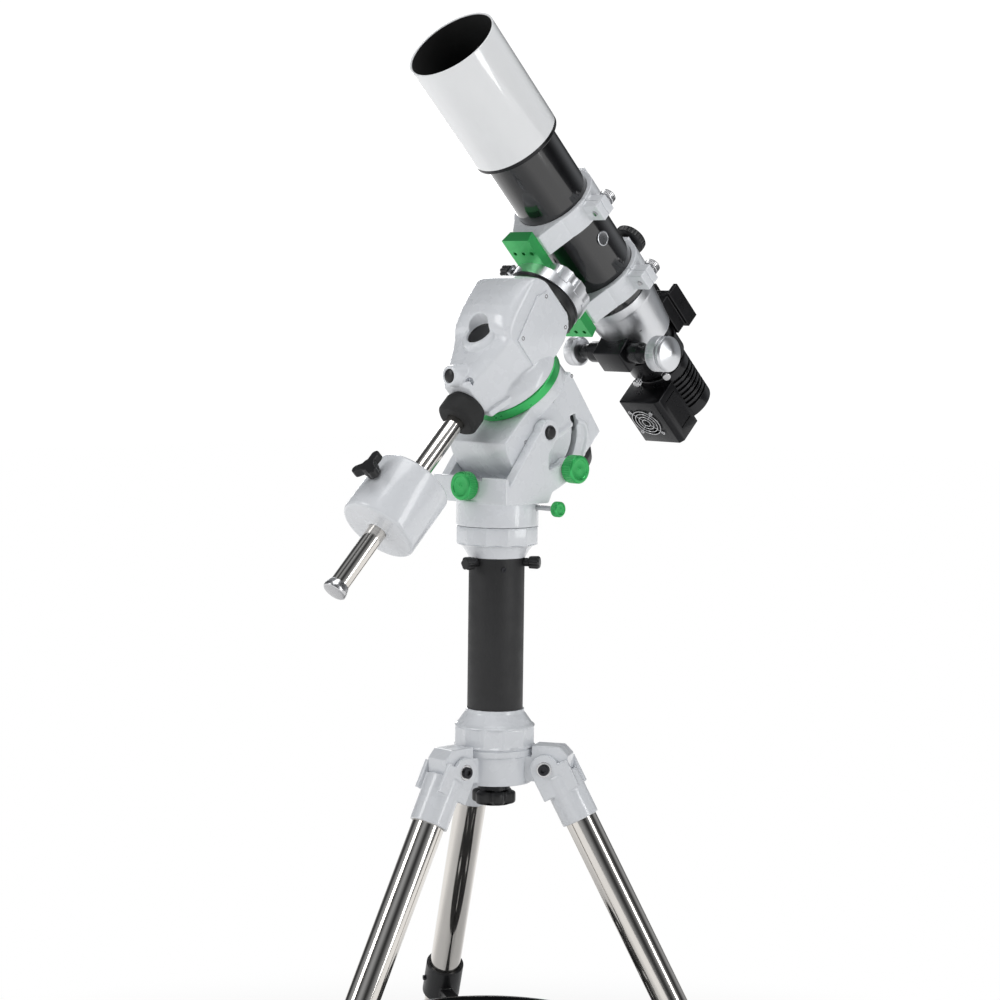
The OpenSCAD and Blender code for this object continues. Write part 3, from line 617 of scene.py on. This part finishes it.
def leg(i):
    n = i + 1
    m = leg_frame(i)
    body = f"leg_{n}"
    socket = islands(f"leg_upper_{n}")
    cast(f"leg_socket_{n}", socket[1], WHITE, body, [f"leg_upper_{n}"], 1.0, 4)
    profile = [(16.8, -559.5), (18.6, -559.5, 0.4), (19, -559), (19, -14), (16.8, -14)]
    piece(f"leg_tube_{n}", turned(profile, 128, closed=True, radius=0.2), m, CHROME, body)
    for side in (-1, 1):
        spin = ALONG_Y if side > 0 else ALONG_MINUS_Y
        washer = [(4.8, 21), (9.2, 21), (9.2, 21.7), (4.8, 21.7)]
        place = m @ at(PIVOT_X, 0, PIVOT_UP) @ spin
        piece(f"pivot_washer_{n}_{'ab'[side > 0]}", turned(washer, 48, closed=True, radius=0.2), place,
              STEEL, "stand")
        bolt = [(0, 15), (6.5, 21.5), (6.5, 25, 0.6), (3.3, 25, 0.2), (3.3, 22.6, 0.1), (0, 22.6)]
        piece(f"pivot_bolt_{n}_{'ab'[side > 0]}", turned(bolt, 48, hexagon(3.3), 0.3), place,
              DARK_STEEL, "stand", ["tripod_bolts"] if n == 1 and side < 0 else ())
    clamp(i, m, body)
    knob = [(0, 30.3), (8, 30.3), (8, 33.5), (13.5, 34, 1.5), (14, 42, 2), (10, 44, 1), (0, 44)]
    piece(f"leg_lock_knob_{n}", turned(knob, 96, lobes(4, 3.5, 9), 0.8), m @ at(0, 0, -578) @ ALONG_X,
          PLASTIC, f"leg_lock_{n}", [f"leg_knob_{n}"])
    lower = [(14.6, -702), (16.6, -702), (16.6, -250, 0.4), (14.6, -250)]
    piece(f"leg_inner_tube_{n}", turned(lower, 112, closed=True, radius=0.2), m, CHROME,
          f"lower_leg_{n}", [f"leg_lower_{n}"])
    foot(i, m)


def foot(i, m):
    """A ribbed rubber foot, cut level with the floor."""
    ribs = [(16.7, -672, 0.2), (19, -672, 1)]
    for k in range(5):
        z = -676 - k * 6
        ribs += [(19.6, z, 0.6), (18.2, z - 3, 0.6)]
    ribs += [(20, -708, 1), (20, -740, 1), (0, -740)]
    bm = turned([(0, -695), (16.7, -695, 0.1)] + ribs, 96, radius=0.5)
    bm.transform(m)
    cut = bmesh.ops.bisect_plane(bm, geom=list(bm.verts) + list(bm.edges) + list(bm.faces), dist=1e-6,
                                 plane_co=(0, 0, 0.0001), plane_no=(0, 0, 1), clear_inner=True)
    rim = [e for e in cut["geom_cut"] if isinstance(e, bmesh.types.BMEdge)]
    bmesh.ops.contextual_create(bm, geom=rim)
    piece(f"rubber_foot_{i + 1}", bm, WORLD, RUBBER, f"lower_leg_{i + 1}")


def clamp(i, m, body):
    """The tray arm's clamp and the lock housing of one leg."""
    n = i + 1
    parts = islands(f"leg_clamp_{n}")
    for k, part in enumerate(parts):
        cast(f"leg_clamp_casting_{n}_{'ab'[k] if k < 2 else k}", part, PLASTIC, body,
             [f"leg_clamp_{n}"] if k == 0 else (), 0.9, 3)
    socket_screw(f"tray_clamp_screw_{n}", m @ at(0, 20, -360) @ turn(-90, "X") @ at(0, 0, 3.5), body, 3.2,
                 2.6)


def tray():
    bevelled("tray", PLASTIC, 0.7)


# ---- pier ---------------------------------------------------------------------------------------

def scallop(count, depth, low, high, r_min):
    """A shape for turned(): shallow scoops in the rim between two heights."""
    def shape(a, r, z):
        if r < r_min or z < low or z > high:
            return r
        wave = abs(((a * count / TAU) % 1) - 0.5) * 2
        return r - depth * (1 - wave ** 2) * 0.9
    return shape


def pier():
    low, top = PIER_LOW / MM, PIER_TOP / MM
    foot_profile = [
        (6, low - 53), (46, low - 53, 0.6), (46.5, low - 49), (46.5, low - 45.6, 0.6),
        (44.8, low - 44.6, 0.3), (47.2, low - 43.4, 0.8), (47.5, low - 40), (47.5, low - 22),
        (46.6, low - 18.6, 1.2), (43.5, low - 16.5, 1.2), (36.5, low - 6.5, 2), (34.6, low - 4, 1.2),
        (34, low - 0.1, 0.5), (6, low - 0.1)]
    rim = scallop(12, 2.3, low - 42.5, low - 20, 44.5)
    piece("pier_foot_flange", turned(foot_profile, 240, rim, 0.8, closed=True), WORLD, WHITE, "stand",
          ["pier_flanges"])
    wall = [(29, low), (32.5, low, 0.5), (32.5, top, 0.5), (29, top)]
    piece("pier_tube_black", turned(wall, 160, closed=True, radius=0.3), WORLD, PIER_BLACK, "stand",
          ["pier_tube"])
    head_profile = [
        (6, top + 0.1), (33.5, top + 0.1, 0.8), (34.5, top + 3, 1.2), (38, top + 9, 3),
        (42.6, top + 14.2, 1.6), (46.4, top + 15.2, 0.9), (48.5, top + 17, 1), (48.5, top + 34.6, 1),
        (47.4, top + 36.8, 0.8), (20, top + 36.8), (20, top + 48.8), (6, top + 48.8)]
    rim = scallop(12, 2.3, top + 16, top + 35.6, 45.5)
    piece("pier_head_flange", turned(head_profile, 240, rim, 0.8, closed=True), WORLD, WHITE, "stand")
    peg = [(0, top + 36), (4.5, top + 36), (4.5, top + 65.5, 0.6), (0, top + 65.5)]
    piece("azimuth_peg", turned(peg, 48), at(0, 21.5, 0), STEEL, "stand")
    for n, a in enumerate(LEG_DIRS, 1):
        m = turn(a, "Z") @ at(0, 0, top - 5) @ ALONG_X
        screw = [(0, 24), (2.9, 24), (2.9, 32.6), (5, 32.9, 0.3), (5, 39, 0.3), (7.6, 39.6, 0.8),
                 (8, 50, 1.2), (6, 51.8, 0.6), (0, 51.8)]
        piece(f"pier_hand_screw_{n}", turned(screw, 96, lobes(6, 1.5, 5.6), 0.4), m, PLASTIC,
              f"pier_screw_{n}", [f"pier_screw_{n}"])
        socket_screw(f"pier_fixing_screw_{n}", turn(a + 60, "Z") @ at(32.2, 0, top - 12) @ ALONG_X, "stand",
                     3, 1.4)


# ---- azimuth base and fork ----------------------------------------------------------------------

def green_knob(name, matrix, r, length, body, node, stem=None):
    """A green hand knob along z: knurled rim, bevelled edges and a dished face."""
    profile = [(0, 0), (r - 1.6, 0, 0.3), (r, 1.6, 0.4), (r, length - 1.6, 0.4), (r - 1.6, length, 0.3),
               (r * 0.7, length, 0.3), (r * 0.66, length - 1.1, 0.3), (r * 0.14, length - 1.1, 0.1),
               (r * 0.1, length - 0.6, 0.2), (0, length - 0.6)]
    knob = piece(name, turned(profile, 240, knurl(40, 0.45, 1.7, length - 1.7), 0.3), matrix, GREEN, body,
                 [node])
    if stem:
        radius, low, high = stem
        piece(name + "_stem", turned([(0, low), (radius, low, 0.3), (radius, high), (0, high)], 40), matrix,
              STEEL, body)
    return knob


def azimuth():
    base = islands("azimuth_base")
    cast("azimuth_base_casting", base[0], WHITE, "azimuth", ["azimuth_base"], 0.9, 4)
    pin_x = 60
    for side, spin in ((1, ALONG_X), (-1, ALONG_MINUS_X)):
        m = Matrix.Translation(PIVOT) @ spin
        cap = [(0, pin_x - 1), (7.5, pin_x - 1), (7.5, pin_x + 2, 0.8), (5, pin_x + 2.9, 0.5),
               (0, pin_x + 3)]
        piece(f"altitude_pin_cap_{'ab'[side > 0]}", turned(cap, 64), m, PLASTIC, "azimuth",
              ["altitude_pin"] if side > 0 else ())
    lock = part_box("altitude_lock_knob")
    centre = (lock[0] + lock[1]) / 2
    m = Matrix.Translation((60.3 * MM, centre.y, centre.z)) @ ALONG_X
    green_knob("altitude_lock_wheel", m, 16.5, 16, "altitude_lock", "altitude_lock_knob", (4, -13.7, 2))
    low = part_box("altitude_adjust_knob")
    centre = (low[0] + low[1]) / 2
    m = Matrix.Translation((0, -46.3 * MM, centre.z)) @ ALONG_MINUS_Y
    green_knob("altitude_adjust_wheel", m, 16.5, 15, "altitude_adjuster", "altitude_adjust_knob",
               (4, -12, 2))
    for side, name in ((1, "west"), (-1, "east")):
        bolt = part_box(f"azimuth_bolt_{name}")
        centre = (bolt[0] + bolt[1]) / 2
        spin = ALONG_X if side > 0 else ALONG_MINUS_X
        m = Matrix.Translation((0, centre.y, centre.z)) @ spin
        green_knob(f"azimuth_wheel_{name}", m @ at(0, 0, 72), 9, 9.8, f"azimuth_bolt_{name}",
                   f"azimuth_bolt_{name}", (2.95, -62, 1))


# ---- polar axis ---------------------------------------------------------------------------------

# The raised rib round the altitude lock's slot: (y, z) in the world.
HOOP = ((47.7, 1019.3), (59.5, 1023.7), (73.1, 1031.7), (86.8, 1034.9), (96.5, 1031), (100.5, 1019),
        (98.6, 1007), (93, 994))


def lock_slot():
    """The outline of the curved slot for the altitude lock, about the pivot."""
    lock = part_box("altitude_lock_knob")
    arm = (lock[0] + lock[1]) / 2 - PIVOT
    mid = math.hypot(arm.y, arm.z) / MM
    angles = [math.radians(-75 + 95 * k / 24) for k in range(25)]
    outer = [((mid + 4.6) * math.cos(a), (mid + 4.6) * math.sin(a)) for a in angles]
    inner = [((mid - 4.6) * math.cos(a), (mid - 4.6) * math.sin(a)) for a in reversed(angles)]
    return outer + inner


def polar():
    solids = [(islands("polar_housing")[0], WORLD)]
    lid = block((-45, -88, -49), (45, -38, -41.8), 0)
    solids.append((lid, POLAR))
    rear_wall = plate([(35.5, -60), (42, -60), (30, -145), (23.5, -145)], -44, 44, 0)
    solids.append((rear_wall, POLAR @ SIDEWAYS))
    side_outline = [(-50, -70), (40, -60), (28, -145), (-39, -147), (-59, -120)]
    cutters = []
    to_pivot = Matrix.Translation(PIVOT) @ SIDEWAYS
    for low, high in ((-45.8, -41), (41, 45.8)):
        solids.append((plate(side_outline, low, high, 0), POLAR @ SIDEWAYS))
        path = [(low if low < 0 else high, y, z) for y, z in softened(HOOP, 9, 5)]
        solids.append((tube_along(path, 3.4), WORLD))
        cutters.append((plate(lock_slot(), low - 8, high + 8, 0), to_pivot))
    bore = [(0, -60), (8.4, -60), (8.4, 60), (0, 60)]
    cutters.append((turned(bore, 64, radius=0), Matrix.Translation(PIVOT) @ ALONG_X))
    sculpted("polar_housing_casting", solids, cutters, WORLD, WHITE, "polar_body",
             ["polar_housing"])
    cap = [(0, -180), (22, -180, 2), (26, -178, 1.2), (31, -166, 1), (31.5, -153, 1), (21.9, -151, 0.3),
           (21.9, -146), (0, -146)]
    piece("polar_rear_cap", turned(cap, 192, knurl(72, 0.5, -164, -154), 0.5), POLAR, PLASTIC, "polar_body",
          ["polar_cap"])
    for side in (-1, 1):
        for n, (dec, ra) in enumerate(((-66, -64), (40, -64)), 1):
            m = POLAR @ at(0, dec, ra) @ (ALONG_X if side > 0 else ALONG_MINUS_X) @ at(0, 0, 46)
            flat_screw(f"housing_screw_{'ab'[side > 0]}{n}", m, "polar_body", 2.4, STEEL)
    ring = [(45, -41), (57, -41, 0.5), (58, -40, 0.4), (58, -30, 0.4), (57, -29, 0.5), (45, -29)]
    piece("green_polar_ring", turned(ring, 256, closed=True, radius=0.4), POLAR, GREEN, "head",
          ["polar_ring"])


HEAD_SECTIONS = (
    # along the declination axis: half width, bottom, front at the sides, front in the middle
    (-70, 20, -17, 24, 31), (-66, 21.5, -19, 26, 34), (-54, 26, -21, 27, 36), (-36, 33, -24, 29, 38),
    (-18, 39.5, -27, 32, 40), (-4, 44.5, -28, 36, 42), (0, 46, -28, 38, 45), (3, 46, -28, 40, 52),
    (8, 46, -28, 42, 57), (16, 46, -28, 44, 61.5), (28, 46, -28, 47, 65), (42, 46, -28, 50, 67),
    (56, 46, -26, 54, 67.5), (68, 46, -23, 57, 66.5), (75, 46, -20, 57, 64), (80, 46, -15, 53, 59),
    (84, 46, -9, 46, 51), (86, 45, -6, 40, 44))


def head_ring(dec, half, low, shoulder, front):
    """One cross section of the upper housing: flat sides and a bulging front."""
    points = [(-half, dec, low), (half, dec, low)]
    for k in range(25):
        x = math.cos(math.pi * k / 24)
        rise = (1 - abs(x) ** 2.5) ** (1 / 2.5)
        points.append((half * x, dec, shoulder + (front - shoulder) * rise))
    return points


def head():
    skirt = turned([(0, -28.8), (57.2, -28.8), (57.8, -27), (56.5, -20), (50, -10), (40, -4), (0, -4)],
                   144, radius=2)
    lip = turned([(0, 20), (25, 20), (24, 44), (21.5, 47.5), (0, 47.5)], 96, radius=2.5)
    boss_turn = at(0, -53, 30) @ turn(45, "X")
    boss = turned([(0, -20), (15, -20), (12.5, 16), (11.5, 21.5), (0, 21.5)], 96, radius=2)
    rib = lofted([[(20, -70, -19), (26, -70, -19), (26, -70, -11), (20, -70, -11)],
                  [(40, -10, -29), (48, -10, -29), (48, -10, -20), (40, -10, -20)]])
    solids = [(lofted([head_ring(*row) for row in HEAD_SECTIONS]), WORLD), (skirt, WORLD), (lip, WORLD),
              (boss, boss_turn), (rib, WORLD)]
    opening = turned([(0, 44.5), (16.4, 44.5), (18, 80), (0, 80)], 96)
    dimple = turned([(0, 0), (4.5, 0), (5.5, 8), (0, 8)], 48)
    shield_panel = plate([(3, -16), (8, -21), (22, -19), (40, -13), (50, -7), (53, 2), (48, 13), (38, 20),
                          (24, 25), (8, 28), (3, 25)], -3.4, 12, 0)
    facet = Matrix(((-0.345, 0, 0.939, 46 * MM), (-0.939, 0, -0.345, -2 * MM), (0, 1, 0, 0), (0, 0, 0, 1)))
    boss_bore = turned([(0, 17.5), (8, 17.5), (8, 40), (0, 40)], 64)
    cutters = [(opening, WORLD), (boss_bore, boss_turn), (shield_panel, facet),
               (dimple, at(15, -58, 26) @ turn(50, "X") @ turn(25, "Y"))]
    for u, v in ((9, -13), (46, -7)):
        cutters.append((turned([(0, -6), (2.2, -6), (2.6, 3), (0, 3)], 32), facet @ at(u, v, 0)))
    sculpted("head_casting_white", solids, cutters, POLAR, WHITE, "head", ["head_casting"])
    outline = [(78, 37), (80.5, -5), (74, -18), (58, -24.5), (40, -26.5), (8, -26.5), (3, -11), (5, 30),
               (62, 44)]
    for side in (-1, 1):
        low, high = (45.6, 48.2) if side > 0 else (-48.2, -45.6)
        piece(f"side_cover_{'ab'[side > 0]}", plate(outline, low, high, 0.9, 3), POLAR @ SIDEWAYS, WHITE,
              "head", ["side_covers"] if side > 0 else ())
        for n, (dec, ra) in enumerate(((12, 26), (72, 34), (70, -14), (12, -20)), 1):
            place = POLAR @ SIDEWAYS @ at(dec, ra, 48.2 * side) @ (WORLD if side > 0 else turn(180, "X"))
            flat_screw(f"cover_screw_{'ab'[side > 0]}{n}", place, "head", 2.6, STEEL)
    plug = [(0, 42), (16, 42), (16, 45.4, 0.8), (13.5, 46, 0.4), (12.9, 45, 0.3), (0, 44.8)]
    piece("front_cap", turned(plug, 96), POLAR, PLASTIC, "head", ["head_plugs"])
    button = [(0, 17), (7.6, 17), (7.6, 21.4, 0.8), (5, 22.6, 1), (0, 23)]
    piece("nose_plug", turned(button, 80), POLAR @ boss_turn, PLASTIC, "head")


# ---- declination axis and saddle ----------------------------------------------------------------

def declination():
    flange = [(0, 86.3), (46.6, 86.3, 0.5), (47, 87), (47, 95, 0.6), (44, 96, 0.5), (44, 100), (0, 100)]
    piece("dec_flange_black", turned(flange, 192, knurl(90, 0.4, 87, 95)), HEAD, PLASTIC, "declination",
          ["dec_shaft"])
    bevelled("saddle", ALUMINIUM, 0.7)
    bevelled("saddle_jaw", ALUMINIUM, 0.7)
    for n, y in ((1, -26), (2, 26)):
        knob = [(0, 38.3), (2.9, 38.3), (2.9, 48), (8, 48, 1), (8.5, 50, 0.6), (8.5, 60, 1.2), (6, 62, 1),
                (0, 62)]
        piece(f"saddle_clamp_knob_{n}", turned(knob, 96, lobes(8, 1.3, 5), 0.5),
              HEAD @ at(0, y, 120) @ ALONG_MINUS_X, PLASTIC, f"clamp_knob_{n}",
              [f"clamp_knob_{n}"])
    collar = [(11.1, -97.3), (21, -97.3, 1), (25, -93.3, 1), (25, -77, 0.8), (22.2, -70.4, 0.6),
              (11.1, -70.4)]
    piece("shaft_lock_collar", turned(collar, 224, knurl(36, 0.5, -92, -78), 0.5, closed=True), HEAD,
          RUBBER, "shaft_lock", ["shaft_collar"])


def counterweight():
    bar = [(0, -350), (11, -350), (11, -46), (0, -46)]
    piece("counterweight_bar", turned(bar, 112), HEAD, CHROME, "declination",
          ["counterweight_shaft"])
    stop = [(0, -355), (12.8, -355, 1), (14, -353.8, 0.6), (14, -350.6, 0.6), (12, -343.2, 0.6),
            (11.1, -343), (11.1, -350), (0, -350)]
    piece("bar_end_stop", turned(stop, 112, radius=0.4), HEAD, STEEL, "declination")
    r = (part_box("counterweight")[1].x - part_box("counterweight")[0].x) / 2 / MM
    weight = [(11.1, -265), (14, -265, 0.5), (14.6, -264.4, 0.3), (r - 2.6, -265, 2.2), (r, -262.4, 2.2),
              (r, -190.6, 2.2), (r - 2.6, -188, 2.2), (14.6, -188.6, 0.3), (14, -188, 0.5), (11.1, -188)]
    piece("counterweight_white", turned(weight, 224, closed=True), HEAD, WHITE, "weight",
          ["counterweight"])
    cast("weight_wing_knob", islands("counterweight_knob")[0], PLASTIC, "weight_knob",
         ["counterweight_knob"], 0.7, 4)


# ---- telescope ----------------------------------------------------------------------------------

def telescope():
    bevelled("dovetail_bar", GREEN, 0.6)
    for k, part in enumerate(islands("tube_rings")):
        cast(f"tube_ring_{k + 1}", part, WHITE, "telescope",
             ["tube_rings"] if k == 0 else (), 0.8, 3)
    wall = [(43, -78), (45, -78), (45, 205, 0.4), (43, 205)]
    piece("main_tube", turned(wall, 192, closed=True, radius=0.2), TUBE, GLOSS_BLACK, "telescope",
          ["tube"])
    cell = [(36, 200), (43, 200), (43, 205), (48, 205, 0.5), (48, 232, 0.8), (37.5, 232, 0.5),
            (36, 229, 0.4)]
    piece("lens_cell", turned(cell, 160, closed=True), TUBE, BLACK_ANODISED, "telescope",
          ["objective"])
    dome = [(0, 226), (12, 225.7), (24, 224.4), (36, 222.4), (36, 212), (0, 212)]
    piece("front_lens", turned(dome, 128, radius=2), TUBE, LENS, "telescope")
    shield()
    focuser()
    camera()
    for name, z in (("front", 59), ("rear", -53)):
        m = TUBE @ at(66, 0, z) @ ALONG_Y
        screw = [(0, -12), (2.9, -12), (2.9, 10.8), (6, 10.9, 0.3), (6, 13.4), (9.2, 13.6, 0.5),
                 (9.5, 14.4, 0.4), (9.5, 21, 0.4), (8.6, 22, 0.4), (0, 22)]
        piece(f"ring_thumb_screw_{name}", turned(screw, 192, knurl(32, 0.7, 14.6, 20.9), 0.3), m, STEEL,
              f"ring_screw_{name}", [f"ring_screw_{name}"])
    wheel = [(0, 48.5), (2.9, 48.5), (2.9, 56.3), (10, 56.4, 0.4), (10, 60), (19, 60.2, 0.8),
             (20, 61.5, 0.6), (20, 68.5, 0.8), (18.5, 70, 0.8), (9, 70, 0.6), (8, 69, 0.4), (0, 69)]
    piece("camera_screw_wheel", turned(wheel, 240, knurl(30, 0.9, 61.6, 68.4), 0.4),
          TUBE @ at(0, 0, -53) @ ALONG_Y, PLASTIC, "camera_screw", ["camera_screw"])
    badge = [(0, -0.4), (9, -0.4), (9, 0.5, 0.3), (7.8, 0.8, 0.2), (7.4, 0.5, 0.1), (0, 0.5)]
    piece("round_badge", turned(badge, 80, radius=0.15), TUBE @ at(45, -4, 14) @ ALONG_X, BADGE,
          "telescope")


def shield():
    low, high = 161.6, 310
    outer = [(52, low + 8), (52, high - 0.5), (52.4, high, 0.3), (54.2, high, 0.5), (54.2, low + 6, 1.5),
             (53.8, low + 5.4), (52, low + 5.4)]
    piece("dew_shield_white", turned(outer, 224, closed=True, radius=0.3), TUBE, SHIELD, "dew_shield",
          ["dew_shield"])
    lip = [(45.05, low), (53, low, 1), (54, low + 1, 0.6), (54, low + 5.3, 0.3), (45.05, low + 5.3)]
    piece("dew_shield_rear_lip", turned(lip, 224, closed=True), TUBE, BLACK_ANODISED, "dew_shield")
    lining = [(51.5, low + 5.4), (51.95, low + 5.4), (51.95, high - 1), (51.5, high - 1)]
    piece("dew_shield_lining", turned(lining, 192, closed=True, radius=0.05), TUBE, FLOCK, "dew_shield")


def focuser():
    cone = [(34.2, -150), (39, -150, 1), (40, -148.6, 0.8), (45.8, -92, 2), (46.5, -89, 0.5),
            (46.5, -78.2, 0.6), (43.2, -78)]
    piece("focuser_cone", turned(cone, 192, closed=True), TUBE, ALUMINIUM, "telescope",
          ["focuser_body"])
    draw = [(31, -184), (34, -184), (34, -76), (31, -76)]
    piece("drawtube_black", turned(draw, 160, closed=True, radius=0.2), TUBE, BLACK_ANODISED, "drawtube",
          ["drawtube"])
    collar = [(31, -194), (37, -194, 0.8), (37, -168, 0.6), (34.1, -168), (34.1, -186), (31, -186)]
    piece("drawtube_collar", turned(collar, 192, knurl(60, 0.5, -192, -180), closed=True), TUBE,
          BLACK_ANODISED, "drawtube")
    for n, a in enumerate((-90, -40), 1):
        m = TUBE @ at(0, 0, -186 - 3 * n) @ turn(a, "Z") @ ALONG_X
        thumb = [(0, 34), (2.2, 34), (2.2, 41), (4.6, 41.2, 0.5), (5, 42, 0.3), (5, 48, 0.3),
                 (4.4, 49, 0.4), (0, 49)]
        piece(f"drawtube_screw_{n}", turned(thumb, 120, knurl(24, 0.5, 42.1, 47.9), 0.3), m, STEEL,
              "drawtube")
    housing = plate([(-45.5, -154), (-62, -154), (-62, -122), (-30, -118), (-30, -154)], -22, 22, 2, 3)
    piece("pinion_housing", housing, TUBE @ SIDEWAYS, BLACK_ANODISED, "telescope")
    axle = TUBE @ at(0, 149 - 193.5, -137)
    for side, spin in ((1, ALONG_X), (-1, ALONG_MINUS_X)):
        bush = [(4, 22), (13, 22, 0.5), (13, 40, 0.5), (9, 44, 0.8), (9, 56, 0.5), (4, 56)]
        piece(f"pinion_bush_{'ab'[side > 0]}", turned(bush, 128, closed=True), axle @ spin, BLACK_ANODISED,
              "telescope")
    big = [(0, 56), (3.4, 56), (3.4, 60.8), (16, 61, 0.8), (20.8, 62, 0.8), (21.5, 63, 0.4),
           (21.5, 76, 0.5), (20, 77, 0.3), (0, 77)]
    piece("coarse_knob_right", turned(big, 288, knurl(72, 0.5, 63.4, 75.8), 0.4), axle @ ALONG_X, ALUMINIUM,
          "focus_knobs", ["focus_knobs"])
    small = [(0, 56), (3.4, 56), (3.4, 60), (14, 60, 0.8), (18, 62, 0.6), (18, 74.5, 0.6), (16, 76, 0.6),
             (0, 76)]
    piece("coarse_knob_left", turned(small, 288, knurl(60, 0.5, 62.4, 74.2), 0.4), axle @ ALONG_MINUS_X,
          ALUMINIUM, "focus_knobs")
    fine = [(0, 78.3), (21, 78.3, 0.4), (21.5, 79), (21.5, 82, 0.6), (19, 84.2, 0.8), (4, 89.6, 1), (0, 90)]
    piece("fine_focus_knob", turned(fine, 240, knurl(60, 0.4, 79, 82)), axle @ ALONG_X, ALUMINIUM,
          "fine_knob", ["fine_knob"])
    for n, a in enumerate((-35, 145), 1):
        slope = TUBE @ turn(a, "Z") @ at(42.9, 0, -118) @ turn(84, "Y")
        piece(f"cone_screw_{n}", turned([(0, -1), (1.7, -1), (1.7, 0.15), (0, 0.15)], 32, radius=0.1),
              slope, DARK_STEEL, "telescope")
    cast("finder_shoe_black", islands("finder_shoe")[0], BLACK_ANODISED, "telescope",
         ["finder_shoe"], 0.6, 2)


def camera():
    r = 34
    profile = [(24, -200), (r - 1, -200, 1), (r, -201.5, 0.4)]
    for k in range(7):
        z = -212 - k * 7
        profile += [(r, z + 0.2, 0.4), (30.5, z, 0.3), (30.5, z - 3.3, 0.3), (r, z - 3.5, 0.4)]
    profile += [(r, -271.6, 0.8), (r - 1.6, -273, 0.6), (0, -273)]
    piece("camera_barrel", turned([(0, -198)] + profile, 192), TUBE, BLACK_ANODISED, "camera",
          ["camera_body"])
    low = 131 - 193.5
    body = plate([(-32, low + 2), (-30, low), (27, low), (32, low + 5), (32, -24), (-32, -24)], -277,
                 -207, 1.2, 3)
    box = piece("cooler_housing", body, TUBE, BLACK_ANODISED, "camera")
    fan = TUBE @ at(-5, low, -241) @ ALONG_MINUS_Y
    carve(box, turned([(0, -7), (20.6, -7), (20.6, 4), (0, 4)], 96), fan)
    for z in (-218, -262):
        carve(box, block((30.6, low + 12, z), (40, -30, z + 1.2), 0), TUBE)
    shade(box, 40)
    blades("cooler_fan", fan @ at(0, 0, -1.6))
    guard(fan)
    for k, (x, y) in enumerate(((-17, -17), (17, -17), (-17, 17), (17, 17))):
        socket_screw(f"fan_screw_{k + 1}", fan @ at(x, y, 0), "camera", 2.6, 1.8, STEEL)


def blades(name, matrix):
    """The cooler's fan: a hub and seven pitched blades."""
    bm = turned([(0, -2.6), (8, -2.6, 0.6), (8, -0.4), (0, -0.4)], 48)
    for k in range(7):
        blade = block((7, -4, -0.6), (18.5, 4, 0.3), 0.2, 1)
        blade.transform(turn(k * 360 / 7, "Z") @ turn(12, "X"))
        mesh = bpy.data.meshes.new("blade")
        blade.to_mesh(mesh)
        bm.from_mesh(mesh)
        blade.free()
    piece(name, bm, matrix @ at(0, 0, -1), PLASTIC, "fan", ["fan"])


def guard(matrix):
    """Wire rings and spokes over the fan."""
    for k, r in enumerate((5.5, 10.5, 15.5, 20)):
        wire = [(r - 0.6, 0.9), (r + 0.6, 0.9), (r + 0.6, 2.1), (r - 0.6, 2.1)]
        piece(f"fan_guard_ring_{k + 1}", turned(wire, 96, closed=True, radius=0.4), matrix, STEEL, "camera")
    for k in range(4):
        spoke = block((5, -0.6, 0.3), (24, 0.6, 1.4), 0.3, 2)
        piece(f"fan_guard_spoke_{k + 1}", spoke, matrix @ turn(45 + 90 * k, "Z"), STEEL, "camera")


look()
floor()
studio()
tripod()
pier()
azimuth()
polar()
head()
declination()
counterweight()
telescope()
for inner_part, finish in (("polar_drive", DARK_STEEL), ("dec_drive", DARK_STEEL), ("polar_shaft", STEEL)):
    bevelled(inner_part, finish, 0.4)
